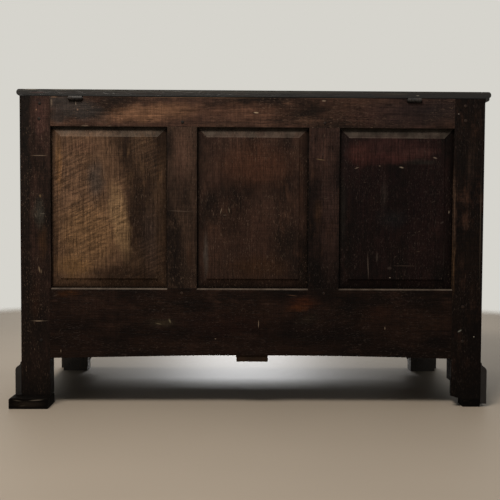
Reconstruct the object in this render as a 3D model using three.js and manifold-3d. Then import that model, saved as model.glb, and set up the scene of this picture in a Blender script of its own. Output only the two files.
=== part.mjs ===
// A joined oak mule chest: a hinged-lid chest over two drawers, on a plinth with cusped bracket feet.
// Sizes are in millimetres. The floor is z = 0, the front faces -Y and the back +Y,
// and left and right are as seen from the front.

import * as THREE from 'three';
import { mergeVertices } from 'three/addons/utils/BufferGeometryUtils.js';
import Module from 'manifold-3d';

const wasm = await Module();
wasm.setup();

// Overall sizes
const total_height = 900;
const body_width = 1315;
const body_depth = 562;

// Clearances
const fit_gap = 0.3;
const overrun = 5;
const slide_gap = 1.2;

// Framing: stiles, rails and muntins
const stile_width = 85.5;
const stile_depth = 48;
const rail_thickness = 28;
const top_rail_height = 85.5;
const low_rail_foot = 139;
const low_rail_height = 200.5;
const low_rail_arch = 9;
const low_rail_lap = 4.5;
const middle_rail_height = 46;
const drawer_opening_height = 144;
const base_rail_height = 34;
const base_rail_lap = 24;
const muntin_width = 84;
const back_right_muntin_drift = -4;
const back_left_muntin_drift = 2.5;
const back_left_muntin_width = 87;
const divider_width = 60;
const arris_chamfer = 4;
const frame_moulding = 6;
const frame_moulding_quirk = 1.4;

// Mortise-and-tenon joints
const tongue_thickness = 8;
const tongue_set = 9.5;
const long_tenon = 38;
const short_tenon = 32;
const muntin_tenon = 28;
const tenon_shoulder = 10;

// Fielded panels
const groove_depth = 10;
const panel_thickness = 16;
const bevel_width = 27;
const field_step = 2;

// Lid
const lid_thickness = 18;
const lid_right_overhang = 9;
const lid_left_overhang = 16.5;
const lid_front_overhang = 20;
const nose_depth = 8;
const thumbnail_width = 22;
const thumbnail_step = 1.6;
const cleat_width = 27;
const cleat_quirk = 1.2;
const lid_bead_width = 11;
const lid_bead_height = 8.5;
const lid_bead_clearance = 1;

// Plinth with bracket feet
const plinth_height = 128;
const plinth_thickness = 18;
const ogee_height = 24;
const ogee_fillet = 3;
const foot_width = 100;
const foot_straight = 18;
const cusp_reach = 32;
const cusp_height = 46;
const lobe_reach = 58;
const apron_height = 78;
const lobe_swell_share = 0.85;
const right_rear_bracket_foot = 31;
const left_rear_bracket_foot = 9;

// Repaired rear feet
const right_pad_width = 110;
const right_pad_height = 31;
const right_pad_side_reach = 10;
const right_pad_back_reach = 34;
const pad_chamfer = 4;
const left_block_width = 51;
const left_block_height = 21;
const left_block_inset = 1;
const left_stile_slant = 11;
const stile_loss_height = 74;
const stile_loss_width = 10;
const stile_loss_stop = 8;

// Inside the case
const floor_thickness = 16;
const floor_lift = 12;
const runner_thickness = 24;
const runner_bearing = 38;
const runner_guide_width = 22;
const runner_guide_height = 20;
const centre_runner_width = 90;
const centre_runner_drop = 19;
const centre_runner_inset = 3;

// Drawers
const drawer_back_gap = 24;
const drawer_front_thickness = 20;
const drawer_lining = 12;
const drawer_side_drop = 5;
const drawer_back_drop = 12;
const drawer_bottom_thickness = 8;
const drawer_bottom_lift = 11;
const drawer_groove = 6;
const lip_reach = 7;
const lip_thickness = 6;
const lip_round = 4;
const dovetail_count = 3;
const dovetail_length = 14;
const dovetail_flare = 3;
const dovetail_share = 0.56;

// Hinges
const right_hinge_inset = 157;
const left_hinge_inset = 202;
const knuckle_radius = 6.5;
const hinge_axis_setback = 1;
const pin_radius = 3;
const strap_thickness = 3.5;
const strap_width = 38;
const strap_tip_width = 22;
const strap_length = 300;
const middle_knuckle = 18;
const knuckle_play = 0.5;
const pin_head = 2;
const tail_drop = 96;
const notch_play = 2;

// Lock
const lock_width = 110;
const lock_height = 72;
const lock_depth = 13;
const lock_top_drop = 4;
const lock_slot_width = 26;
const lock_slot_depth = 7;
const lock_slot_height = 34;
const staple_width = 19;
const staple_drop = 24;
const staple_bar = 3.5;
const staple_plate_width = 44;
const staple_plate_thickness = 2.5;

// Swan-neck handles
const handle_place_share = 0.26;
const plate_thickness = 1.6;
const plate_half_width = 50;
const plate_half_height = 25;
const plate_waist = 15;
const plate_shoulder = 20;
const post_spacing = 64;
const post_stem_radius = 4;
const post_head_radius = 5.5;
const post_reach = 13;
const pivot_hole_radius = 2.5;
const bail_radius = 2.1;
const bail_pin_end = 2;
const bail_drop = 33;
const bail_neck = 5;
const bail_steps = 36;
const bail_sides = 8;

const round_segments = 16;
const curve_segments = 8;
const nose_steps = 12;

// Levels and faces worked out from the sizes above
const half_width = body_width / 2;
const half_depth = body_depth / 2;
const lid_bottom = total_height - lid_thickness;
const frame_top = lid_bottom - fit_gap;
const panel_top = lid_bottom - top_rail_height;
const low_rail_top = low_rail_foot + low_rail_height;
const base_rail_top = plinth_height + base_rail_height;
const drawer_opening_top = base_rail_top + drawer_opening_height;
const middle_rail_top = drawer_opening_top + middle_rail_height;
const stile_inner_x = half_width - stile_width;
const stile_inner_y = half_depth - stile_depth;
const rail_inner_y = half_depth - rail_thickness;
const rail_inner_x = half_width - rail_thickness;
const even_panel_width = (2 * stile_inner_x - 2 * muntin_width) / 3;
const even_muntin_place = (even_panel_width + muntin_width) / 2;

// Colours of the old oak and its metalwork
const finishes = {
  frame: { color: 0x2a1a11, roughness: 0.62, metalness: 0 },
  panel: { color: 0x4a321e, roughness: 0.58, metalness: 0 },
  lid: { color: 0x33291f, roughness: 0.66, metalness: 0 },
  lining: { color: 0x8a6a44, roughness: 0.8, metalness: 0 },
  iron: { color: 0x2b2724, roughness: 0.6, metalness: 0.85 },
  brass: { color: 0xa98544, roughness: 0.36, metalness: 0.95 },
};

// Solids from three.js geometry, which the boolean library joins and cuts
function solid(geometry) {
  const bare = geometry.index ? geometry.toNonIndexed() : geometry.clone();
  bare.deleteAttribute('normal');
  bare.deleteAttribute('uv');
  const merged = mergeVertices(bare, 1e-4);
  return new wasm.Manifold(new wasm.Mesh({
    numProp: 3,
    vertProperties: new Float32Array(merged.attributes.position.array),
    triVerts: new Uint32Array(merged.index.array),
  }));
}

function box(x, y, z) {
  return { x: [Math.min(...x), Math.max(...x)], y: [Math.min(...y), Math.max(...y)], z };
}

function grown(b, by) {
  const wider = ([low, high]) => [low - by, high + by];
  return { x: wider(b.x), y: wider(b.y), z: wider(b.z) };
}

function block(b) {
  const size = [b.x, b.y, b.z].map(([low, high]) => high - low);
  const middle = [b.x, b.y, b.z].map(([low, high]) => (high + low) / 2);
  return solid(new THREE.BoxGeometry(...size).translate(...middle));
}

// A section drawn in two directions and run along the third: x takes (y, z), y takes (x, z), z takes (x, y)
const run_frames = {
  x: [new THREE.Vector3(0, 1, 0), new THREE.Vector3(0, 0, 1), new THREE.Vector3(1, 0, 0)],
  y: [new THREE.Vector3(1, 0, 0), new THREE.Vector3(0, 0, 1), new THREE.Vector3(0, -1, 0)],
  z: [new THREE.Vector3(1, 0, 0), new THREE.Vector3(0, 1, 0), new THREE.Vector3(0, 0, 1)],
};

function run(shape, axis, from, to, quarters = 0) {
  const geometry = new THREE.ExtrudeGeometry(shape, {
    depth: to - from, bevelEnabled: false, curveSegments: curve_segments,
  });
  geometry.applyMatrix4(new THREE.Matrix4().makeBasis(...run_frames[axis]));
  const start = axis === 'y' ? to : from;
  geometry.translate(...['x', 'y', 'z'].map((name) => (name === axis ? start : 0)));
  return solid(geometry.rotateZ(quarters * Math.PI / 2));
}

function outline(points) {
  return new THREE.Shape(points.map(([u, v]) => new THREE.Vector2(u, v)));
}

function rod_along_x(radius, from, to, y, z) {
  const geometry = new THREE.CylinderGeometry(radius, radius, to - from, round_segments);
  return solid(geometry.rotateZ(Math.PI / 2).translate((from + to) / 2, y, z));
}

function cut(piece, cutters) {
  return cutters.reduce((left, cutter) => left.subtract(cutter.x ? block(cutter) : cutter), piece);
}

function joined(pieces) {
  return pieces.reduce((all, piece) => all.add(piece));
}

// A box turned about the upright axis by quarter turns, counter-clockwise seen from above
function turned(b, quarters) {
  const turns = ((quarters % 4) + 4) % 4;
  let result = b;
  for (let i = 0; i < turns; i += 1) {
    result = box(result.y.map((value) => -value), result.x, result.z);
  }
  return result;
}

const chest = new THREE.Group();

function add(name, piece, finish, quarters = 0, parent = chest) {
  const { vertProperties, triVerts } = piece.getMesh();
  const geometry = new THREE.BufferGeometry();
  geometry.setAttribute('position', new THREE.BufferAttribute(new Float32Array(vertProperties), 3));
  geometry.setIndex(new THREE.BufferAttribute(new Uint32Array(triVerts), 1));
  geometry.computeVertexNormals();
  const mesh = new THREE.Mesh(geometry, new THREE.MeshStandardMaterial(finishes[finish]));
  mesh.name = name;
  mesh.rotation.z = quarters * Math.PI / 2;
  parent.add(mesh);
  return mesh;
}

// A panel raised by a bevel all round: two crossed sections give the mitred corners
function fielded_panel(opening, inner_face) {
  const edge = inner_face + tongue_thickness;
  const field = inner_face + panel_thickness;
  const reach = groove_depth - fit_gap;
  const section = ([low, high]) => [
    [low - reach, inner_face], [high + reach, inner_face],
    [high + reach, edge], [high, edge],
    [high - bevel_width, field - field_step], [high - bevel_width, field],
    [low + bevel_width, field], [low + bevel_width, field - field_step],
    [low, edge], [low - reach, edge],
  ];
  const across = outline(section(opening.x));
  const upward = outline(section(opening.z).map(([z, y]) => [y, z]));
  return run(across, 'z', opening.z[0] - reach, opening.z[1] + reach)
    .intersect(run(upward, 'x', opening.x[0] - reach, opening.x[1] + reach));
}

// The ovolo run round an opening on the show side: a small quirk and then a quarter round
function moulding_cut(opening, face, quarters) {
  const section = ([low, high], place) => {
    const shape = new THREE.Shape();
    const at = (method, ...points) => shape[method](...points.flatMap(([u, y]) => place(u, y)));
    const quirk = face - frame_moulding_quirk;
    const deep = face - frame_moulding;
    at('moveTo', [low - frame_moulding, face + overrun]);
    at('lineTo', [low - frame_moulding, quirk]);
    at('quadraticCurveTo', [low, quirk], [low, deep]);
    at('lineTo', [high, deep]);
    at('quadraticCurveTo', [high, quirk], [high + frame_moulding, quirk]);
    at('lineTo', [high + frame_moulding, face + overrun]);
    return shape;
  };
  const across = section(opening.x, (u, y) => [u, y]);
  const upward = section(opening.z, (u, y) => [y, u]);
  const reach = frame_moulding + overrun;
  return run(across, 'z', opening.z[0] - reach, opening.z[1] + reach, quarters)
    .intersect(run(upward, 'x', opening.x[0] - reach, opening.x[1] + reach, quarters));
}

// One framed wall, drawn with its outer face towards +Y and then turned to its side of the chest.
// It gives its own pieces their places, and returns the cuts that the corner stiles take.
function framed_wall({ reach, half_span, tenon, rails, panel_rails, muntins, panels, quarters, moulded }) {
  const inner = reach - rail_thickness;
  const tongue_y = [inner + tongue_set, inner + tongue_set + tongue_thickness];
  const [lower, upper] = panel_rails.map((name) => rails.find((rail) => rail.name === name));
  const panel_z = [lower.z[1], upper.z[0]];

  const posts = muntins.map(({ name, place, width = muntin_width }) => ({
    name, x: [place - width / 2, place + width / 2],
  }));
  const edges = [-half_span, ...posts.flatMap(({ x }) => x).sort((a, b) => a - b), half_span];
  const openings = panels.map((name, i) => ({ name, ...box(edges.slice(2 * i, 2 * i + 2), tongue_y, panel_z) }));
  const grooves = openings.map((opening) => {
    const [low, high] = tongue_y;
    const wider = ([a, b]) => [a - groove_depth, b + groove_depth];
    return { x: wider(opening.x), y: [low - fit_gap, high + fit_gap], z: wider(opening.z) };
  });

  const mouldings = (turns) => (moulded ? openings.map((opening) => moulding_cut(opening, reach, turns)) : []);
  const member_cuts = [...grooves, ...mouldings(0)];
  const stile_cuts = [...grooves];
  const rail_cuts = [...member_cuts];

  for (const { name, x } of posts) {
    const z = [panel_z[0] + fit_gap, panel_z[1] - fit_gap];
    const tenon_box = {
      x: [x[0] + tenon_shoulder, x[1] - tenon_shoulder],
      y: tongue_y,
      z: [z[0] - muntin_tenon, z[1] + muntin_tenon],
    };
    rail_cuts.push(grown(tenon_box, fit_gap));
    const body = cut(block(box(x, [inner, reach], z)), member_cuts);
    add(name, body.add(block(tenon_box)), 'frame', quarters);
  }

  for (const rail of rails) {
    const span = half_span - fit_gap;
    const tenon_box = {
      x: [-half_span - tenon, half_span + tenon],
      y: tongue_y,
      z: [rail.z[0] + tenon_shoulder, rail.z[1] - tenon_shoulder],
    };
    stile_cuts.push(grown(tenon_box, fit_gap));
    const body = block(box([-span, span + (rail.lap ?? 0)], [inner, reach], rail.z)).add(block(tenon_box));
    add(rail.name, cut(body, [...rail_cuts, ...(rail.cuts ?? [])]), 'frame', quarters);
  }

  for (const opening of openings) {
    add(opening.name, fielded_panel(opening, tongue_y[0]), 'panel', quarters);
  }
  return [...stile_cuts.map((b) => turned(b, quarters)), ...mouldings(quarters)];
}

// The worn arris that a lower rail shows under each panel
function arris_cuts(edges, reach, top) {
  const section = outline([
    [reach - arris_chamfer, top + overrun], [reach - arris_chamfer, top],
    [reach, top - arris_chamfer], [reach + overrun, top - arris_chamfer],
    [reach + overrun, top + overrun],
  ]);
  return edges.map(([low, high]) => run(section, 'x', low, high));
}

// Hinge levels, which the back top rail's notches also follow
const hinge_axis_y = half_depth + hinge_axis_setback;
const hinge_axis_z = frame_top - knuckle_radius;
const knuckle_clear_y = hinge_axis_y - knuckle_radius - 2 * fit_gap;
const tail_top = frame_top - strap_thickness - fit_gap;
const tail_bottom = tail_top - strap_thickness;
const notch_half = strap_width / 2 + notch_play;
const hinge_places = { right: half_width - right_hinge_inset, left: -half_width + left_hinge_inset };

function hinge_notches(place) {
  const x = [place - notch_half, place + notch_half];
  const top = frame_top + overrun;
  return [
    box(x, [rail_inner_y - overrun, half_depth + overrun], [tail_bottom - fit_gap, top]),
    box(x, [knuckle_clear_y, half_depth + overrun], [hinge_axis_z - knuckle_radius - 2 * fit_gap, top]),
  ];
}

// Back wall
const arch = new THREE.Shape();
arch.moveTo(-stile_inner_x, low_rail_foot - overrun);
arch.lineTo(stile_inner_x, low_rail_foot - overrun);
arch.lineTo(stile_inner_x, low_rail_foot);
arch.quadraticCurveTo(0, low_rail_foot + 2 * low_rail_arch, -stile_inner_x, low_rail_foot);
const arch_cut = run(arch, 'y', rail_inner_y - overrun, half_depth + overrun);

const back_muntin_left = -even_muntin_place + back_left_muntin_drift;
const back_muntin_right = even_muntin_place + back_right_muntin_drift;
const back_edges = [
  [-stile_inner_x, back_muntin_left - back_left_muntin_width / 2],
  [back_muntin_left + back_left_muntin_width / 2, back_muntin_right - muntin_width / 2],
  [back_muntin_right + muntin_width / 2, stile_inner_x],
];
const back_stile_cuts = framed_wall({
  reach: half_depth,
  half_span: stile_inner_x,
  tenon: long_tenon,
  rails: [
    {
      name: 'back_top_rail',
      z: [panel_top, frame_top],
      cuts: Object.values(hinge_places).flatMap(hinge_notches),
    },
    {
      name: 'back_bottom_rail',
      z: [low_rail_foot, low_rail_top],
      lap: low_rail_lap,
      cuts: [arch_cut, ...arris_cuts(back_edges, half_depth, low_rail_top)],
    },
  ],
  panel_rails: ['back_bottom_rail', 'back_top_rail'],
  muntins: [
    { name: 'back_left_muntin', place: back_muntin_left, width: back_left_muntin_width },
    { name: 'back_right_muntin', place: back_muntin_right },
  ],
  panels: ['back_left_panel', 'back_centre_panel', 'back_right_panel'],
  quarters: 0,
  moulded: false,
});

// Front wall, turned half round, so its own +X is the chest's left
const divider_z = [base_rail_top + fit_gap, drawer_opening_top - fit_gap];
const tongue_y_front = [
  rail_inner_y + tongue_set,
  rail_inner_y + tongue_set + tongue_thickness,
];
const divider_tenon_box = {
  x: [-divider_width / 2 + tenon_shoulder, divider_width / 2 - tenon_shoulder],
  y: tongue_y_front,
  z: [divider_z[0] - tenon_shoulder, divider_z[1] + tenon_shoulder],
};
const floor_z = [middle_rail_top - floor_lift - floor_thickness, middle_rail_top - floor_lift];
const floor_groove = box(
  [-stile_inner_x - overrun, stile_inner_x + overrun],
  [rail_inner_y - overrun, rail_inner_y + tongue_thickness + fit_gap],
  [floor_z[0] - fit_gap, floor_z[1] + fit_gap],
);
const front_stile_cuts = framed_wall({
  reach: half_depth,
  half_span: stile_inner_x,
  tenon: long_tenon,
  rails: [
    { name: 'front_top_rail', z: [panel_top, frame_top] },
    {
      name: 'front_middle_rail',
      z: [drawer_opening_top, middle_rail_top],
      cuts: [grown(divider_tenon_box, fit_gap), floor_groove],
    },
    {
      name: 'front_bottom_rail',
      z: [plinth_height - base_rail_lap, base_rail_top],
      cuts: [grown(divider_tenon_box, fit_gap)],
    },
  ],
  panel_rails: ['front_middle_rail', 'front_top_rail'],
  muntins: [
    { name: 'front_right_muntin', place: -even_muntin_place },
    { name: 'front_left_muntin', place: even_muntin_place },
  ],
  panels: ['front_right_panel', 'front_centre_panel', 'front_left_panel'],
  quarters: 2,
  moulded: true,
});
const divider_body = block(box([-divider_width / 2, divider_width / 2], [rail_inner_y, half_depth], divider_z));
add('drawer_divider', divider_body.add(block(divider_tenon_box)), 'frame', 2);

// Side walls: one panel each
const side_stile_cuts = [
  { side: 'right', quarters: -1 },
  { side: 'left', quarters: 1 },
].flatMap(({ side, quarters }) => framed_wall({
  reach: half_width,
  half_span: stile_inner_y,
  tenon: short_tenon,
  rails: [
    { name: `${side}_side_top_rail`, z: [panel_top, frame_top] },
    {
      name: `${side}_side_bottom_rail`,
      z: [plinth_height - base_rail_lap, low_rail_top],
    },
  ],
  panel_rails: [`${side}_side_bottom_rail`, `${side}_side_top_rail`],
  muntins: [],
  panels: [`${side}_side_panel`],
  quarters,
  moulded: true,
}));

// Corner stiles, which run down as the legs
const stile_cuts = [...back_stile_cuts, ...front_stile_cuts, ...side_stile_cuts];

function stile(x_side, y_side, foot, extra_cuts) {
  const body = block(box(
    [x_side * stile_inner_x, x_side * half_width],
    [y_side * stile_inner_y, y_side * half_depth],
    [foot, frame_top],
  ));
  return cut(body, [...stile_cuts, ...extra_cuts]);
}

const left_block_edge = -half_width + left_block_width;
const slant_foot = left_block_height + fit_gap;
const slant_cut = run(outline([
  [left_block_edge, slant_foot - overrun], [-stile_inner_x + overrun, slant_foot - overrun],
  [-stile_inner_x + overrun, slant_foot + left_stile_slant], [-stile_inner_x, slant_foot + left_stile_slant],
  [left_block_edge, slant_foot],
]), 'y', stile_inner_y - overrun, half_depth + overrun);
const stile_loss = box(
  [-stile_inner_x - stile_loss_width, -stile_inner_x + overrun],
  [stile_inner_y - overrun, half_depth - stile_loss_stop],
  [slant_foot - overrun, stile_loss_height],
);
const hewn_arris = box(
  [stile_inner_x - overrun, stile_inner_x + low_rail_lap],
  [stile_inner_y - overrun, half_depth + overrun],
  [0, low_rail_top + fit_gap],
);
add('right_rear_stile', stile(1, 1, right_pad_height + fit_gap, [hewn_arris]), 'frame');
add('left_rear_stile', stile(-1, 1, slant_foot, [slant_cut, stile_loss]), 'frame');
add('right_front_stile', stile(1, -1, 0, []), 'frame');
add('left_front_stile', stile(-1, -1, 0, []), 'frame');

// Blocks that replace the rotted ends of the rear feet
const right_pad_x = [0, right_pad_width].map((inward) => half_width + plinth_thickness + right_pad_side_reach - inward);
const [pad_outer, pad_inner] = right_pad_x;
const right_pad = run(outline([
  [pad_inner, 0], [pad_outer, 0], [pad_outer, right_pad_height - pad_chamfer],
  [pad_outer - pad_chamfer, right_pad_height], [pad_inner + pad_chamfer, right_pad_height],
  [pad_inner, right_pad_height - pad_chamfer],
]), 'y', stile_inner_y, half_depth + right_pad_back_reach);
add('right_rear_foot_block', right_pad, 'frame');
add('left_rear_foot_block', block(box(
  [-half_width, left_block_edge],
  [stile_inner_y + left_block_inset, half_depth - left_block_inset],
  [0, left_block_height],
)), 'frame');

// Plinth boards: an ogee section, cut to the outline of the bracket feet and mitred at the front corners.
// The side boards have a foot at the back only, so the front board stands square below the mitre.
function foot_curve(shape, end, toward, foot) {
  const foot_inner = end + toward * foot_width;
  const cusp = foot_inner + toward * cusp_reach;
  const lobe_end = cusp + toward * lobe_reach;
  const lobe_swell = cusp + toward * lobe_reach * lobe_swell_share;
  const straight_top = Math.max(foot_straight, foot);
  return {
    out: () => {
      shape.lineTo(foot_inner, foot);
      shape.lineTo(foot_inner, straight_top);
      shape.quadraticCurveTo(foot_inner, cusp_height, cusp, cusp_height);
      shape.quadraticCurveTo(lobe_swell, cusp_height, lobe_end, apron_height);
    },
    back: () => {
      shape.lineTo(lobe_end, apron_height);
      shape.quadraticCurveTo(lobe_swell, cusp_height, cusp, cusp_height);
      shape.quadraticCurveTo(foot_inner, cusp_height, foot_inner, straight_top);
      shape.lineTo(foot_inner, foot);
    },
  };
}

function plinth_board(reach, ends, feet, mitred) {
  const [low_start, low_end] = feet.map((foot) => foot ?? apron_height);
  const face = new THREE.Shape();
  face.moveTo(ends[0], low_start);
  if (low_start < apron_height) foot_curve(face, ends[0], 1, low_start).out();
  if (low_end < apron_height) foot_curve(face, ends[1], -1, low_end).back();
  face.lineTo(ends[1], low_end);
  face.lineTo(ends[1], plinth_height);
  face.lineTo(ends[0], plinth_height);

  const inner = reach + fit_gap;
  const outer = reach + plinth_thickness;
  const section = new THREE.Shape();
  section.moveTo(inner, 0);
  section.lineTo(outer, 0);
  section.lineTo(outer, plinth_height - ogee_height);
  section.bezierCurveTo(
    outer, plinth_height - ogee_height / 2,
    inner + ogee_fillet, plinth_height - ogee_height / 2,
    inner + ogee_fillet, plinth_height - ogee_fillet,
  );
  section.lineTo(inner + ogee_fillet, plinth_height);
  section.lineTo(inner, plinth_height);

  const board = run(face, 'y', inner - overrun, outer + overrun)
    .intersect(run(section, 'x', ends[0], ends[1]));
  const mitres = [-1, 1].filter((_, i) => mitred[i]).map((sign) => {
    const end = ends[sign < 0 ? 0 : 1];
    const heel = end - sign * (plinth_thickness + fit_gap / 2);
    const toe = end + sign * (overrun - fit_gap / 2);
    return run(outline([
      [heel, reach], [toe, outer + overrun], [end + sign * 2 * overrun, outer + overrun],
      [end + sign * 2 * overrun, reach - overrun], [heel, reach - overrun],
    ]), 'z', apron_height - fit_gap, plinth_height + overrun);
  });
  return cut(board, mitres);
}

const plinth_half_width = half_width + plinth_thickness;
const plinth_half_depth = half_depth + plinth_thickness;
add('front_plinth', plinth_board(
  half_depth, [-plinth_half_width, plinth_half_width], [0, 0], [true, true],
), 'frame', 2);
add('right_side_plinth', plinth_board(
  half_width, [-half_depth, plinth_half_depth], [right_rear_bracket_foot, null], [false, true],
), 'frame', -1);
add('left_side_plinth', plinth_board(
  half_width, [-plinth_half_depth, half_depth], [null, left_rear_bracket_foot], [true, false],
), 'frame', 1);

// Floor of the chest, notched round the stiles and let into the middle rail
const floor_wide = box(
  [-rail_inner_x + fit_gap, rail_inner_x - fit_gap],
  [-stile_inner_y + fit_gap, stile_inner_y - fit_gap],
  floor_z,
);
const floor_long = box(
  [-stile_inner_x + fit_gap, stile_inner_x - fit_gap],
  [-rail_inner_y - tongue_thickness, rail_inner_y - fit_gap],
  floor_z,
);
add('chest_floor', block(floor_wide).add(block(floor_long)), 'lining');

// Drawer runners. The centre one passes under the arched back rail, where its end shows.
const runner_z = [base_rail_top - runner_thickness, base_rail_top];
const guide_z = [base_rail_top, base_rail_top + runner_guide_height];
for (const [side, sign] of [['right', 1], ['left', -1]]) {
  const bearing_x = sign * (stile_inner_x - runner_bearing);
  const wide = box(
    [bearing_x, sign * (rail_inner_x - fit_gap)],
    [-stile_inner_y + fit_gap, stile_inner_y - fit_gap],
    runner_z,
  );
  const long = box(
    [bearing_x, sign * (stile_inner_x - fit_gap)],
    [-rail_inner_y + fit_gap, rail_inner_y - fit_gap],
    runner_z,
  );
  const guide = box(
    [sign * stile_inner_x, sign * (stile_inner_x + runner_guide_width)],
    [-stile_inner_y + fit_gap, stile_inner_y - fit_gap],
    guide_z,
  );
  add(`${side}_drawer_runner`, joined([block(wide), block(long), block(guide)]), 'lining');
}
const arch_crown = low_rail_foot + low_rail_arch;
const lip_top = arch_crown - fit_gap - low_rail_arch * (centre_runner_width / body_width);
const centre_bottom = arch_crown - centre_runner_drop;
const half_centre = centre_runner_width / 2;
add('centre_drawer_runner', joined([
  block(box([-half_centre, half_centre], [-rail_inner_y + fit_gap, rail_inner_y - fit_gap],
    [centre_bottom, base_rail_top])),
  block(box([-half_centre, half_centre], [0, half_depth - centre_runner_inset], [centre_bottom, lip_top])),
  block(box([-divider_width / 2, divider_width / 2], [-rail_inner_y + fit_gap, rail_inner_y - fit_gap], guide_z)),
]), 'lining');

// Rounded edge of a board, from its underside up and back in to its top. A thumbnail has a step
// behind the nose, and a planted cleat a quirk where it meets the board.
function nose_points(edge, sign, [bottom, top], kind) {
  const nose_top = kind === 'thumbnail' ? top - thumbnail_step : top;
  const middle = (nose_top + bottom) / 2;
  const rise = (nose_top - bottom) / 2;
  const round = Array.from({ length: nose_steps + 1 }, (_, i) => {
    const angle = Math.PI * (i / nose_steps - 1 / 2);
    return [edge - sign * nose_depth * (1 - Math.cos(angle)), middle + rise * Math.sin(angle)];
  });
  const back = kind === 'thumbnail'
    ? [[thumbnail_width, nose_top], [thumbnail_width, top]]
    : [[cleat_width - cleat_quirk, top], [cleat_width, top - cleat_quirk], [cleat_width + cleat_quirk, top]];
  return [...round, ...back.map(([inward, z]) => [edge - sign * inward, z])];
}

// Lid: moulded on its front and ends, with a bead planted under the front and the left end.
// The bead of the right end is lost.
const lid_z = [lid_bottom, total_height];
const lid_x = [-half_width - lid_left_overhang, half_width + lid_right_overhang];
const lid_y = [-half_depth - lid_front_overhang, half_depth];
const front_section = outline([
  [lid_y[1], lid_bottom], [lid_y[1], total_height], ...nose_points(lid_y[0], -1, lid_z, 'thumbnail').reverse(),
]);
const end_section = outline([
  ...nose_points(lid_x[0], -1, lid_z, 'cleat').reverse(), ...nose_points(lid_x[1], 1, lid_z, 'cleat'),
]);
const lid_board = run(front_section, 'x', ...lid_x).intersect(run(end_section, 'y', ...lid_y));

function bead_section(inner, sign) {
  const shape = new THREE.Shape();
  const outer = inner + sign * lid_bead_width;
  shape.moveTo(inner, lid_bottom + fit_gap);
  shape.lineTo(outer, lid_bottom + fit_gap);
  shape.quadraticCurveTo(outer, lid_bottom - lid_bead_height, inner + sign * lid_bead_width / 2,
    lid_bottom - lid_bead_height);
  shape.lineTo(inner, lid_bottom - lid_bead_height);
  return shape;
}
const bead_inner_x = half_width + lid_bead_clearance;
const bead_inner_y = -half_depth - lid_bead_clearance;
const bead_end_y = bead_inner_y - lid_bead_width;
const lid_beads = [
  run(bead_section(-bead_inner_x, -1), 'y', bead_end_y, half_depth),
  run(bead_section(bead_inner_y, -1), 'x', -bead_inner_x - lid_bead_width, bead_inner_x),
];
add('lid', joined([lid_board, ...lid_beads]), 'lid');

// Strap hinges: the tail turns down inside the back rail, and the strap runs under the lid
const half_knuckle = middle_knuckle / 2;
const half_strap = strap_width / 2;
for (const [side, place] of Object.entries(hinge_places)) {
  const bent_y = rail_inner_y - fit_gap;
  const tail_plate = box([place - half_strap, place + half_strap], [bent_y - strap_thickness, knuckle_clear_y],
    [tail_bottom, tail_top]);
  const tail_leg = box([place - half_strap, place + half_strap], [bent_y - strap_thickness, bent_y],
    [tail_top - tail_drop, tail_top]);
  const tail_knuckles = [-1, 1].flatMap((sign) => {
    const ends = [sign * (half_knuckle + knuckle_play), sign * half_strap].sort((a, b) => a - b);
    const x = ends.map((value) => place + value);
    return [
      rod_along_x(knuckle_radius, x[0], x[1], hinge_axis_y, hinge_axis_z),
      block(box(x, [knuckle_clear_y - strap_thickness, hinge_axis_y], [tail_bottom, tail_top])),
    ];
  });
  const pin = rod_along_x(pin_radius, place - half_strap - pin_head, place + half_strap + pin_head,
    hinge_axis_y, hinge_axis_z);
  add(`${side}_hinge_tail`, joined([block(tail_plate), block(tail_leg), ...tail_knuckles, pin]), 'iron');

  const strap_z = [frame_top - strap_thickness, frame_top];
  const tip_y = knuckle_clear_y - strap_length;
  const strap_outline = outline([
    [place - half_strap, knuckle_clear_y], [place - strap_tip_width / 2, tip_y + strap_tip_width],
    [place, tip_y], [place + strap_tip_width / 2, tip_y + strap_tip_width],
    [place + half_strap, knuckle_clear_y],
  ]);
  const strap_tongue = block(box([place - half_knuckle, place + half_knuckle],
    [knuckle_clear_y - strap_thickness, hinge_axis_y], strap_z));
  const strap_knuckle = rod_along_x(knuckle_radius, place - half_knuckle, place + half_knuckle,
    hinge_axis_y, hinge_axis_z);
  const bore = rod_along_x(pin_radius + fit_gap, place - half_strap, place + half_strap,
    hinge_axis_y, hinge_axis_z);
  const strap = joined([run(strap_outline, 'z', ...strap_z), strap_tongue, strap_knuckle]);
  add(`${side}_hinge_strap`, strap.subtract(bore), 'iron');
}

// Box lock on the front rail, and the staple that drops into it from the lid
const lock_face = -rail_inner_y + fit_gap;
const lock_top = frame_top - lock_top_drop;
const lock_middle_y = lock_face + lock_depth / 2;
add('lock_case', cut(
  block(box([-lock_width / 2, lock_width / 2], [lock_face, lock_face + lock_depth], [lock_top - lock_height, lock_top])),
  [box([-lock_slot_width / 2, lock_slot_width / 2],
    [lock_middle_y - lock_slot_depth / 2, lock_middle_y + lock_slot_depth / 2],
    [lock_top - lock_slot_height, lock_top + overrun])],
), 'iron');
const staple_y = [lock_middle_y - staple_bar / 2, lock_middle_y + staple_bar / 2];
const staple_top = frame_top - staple_plate_thickness;
const staple_loop = cut(
  block(box([-staple_width / 2, staple_width / 2], staple_y, [staple_top - staple_drop, frame_top])),
  [box([-staple_width / 2 + staple_bar, staple_width / 2 - staple_bar],
    [staple_y[0] - overrun, staple_y[1] + overrun],
    [staple_top - staple_drop + staple_bar, staple_top - staple_bar])],
);
const staple_plate = block(box([-staple_plate_width / 2, staple_plate_width / 2],
  [lock_face, lock_face + lock_depth], [staple_top, frame_top]));
add('lid_lock_staple', staple_plate.add(staple_loop), 'iron');

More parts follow.
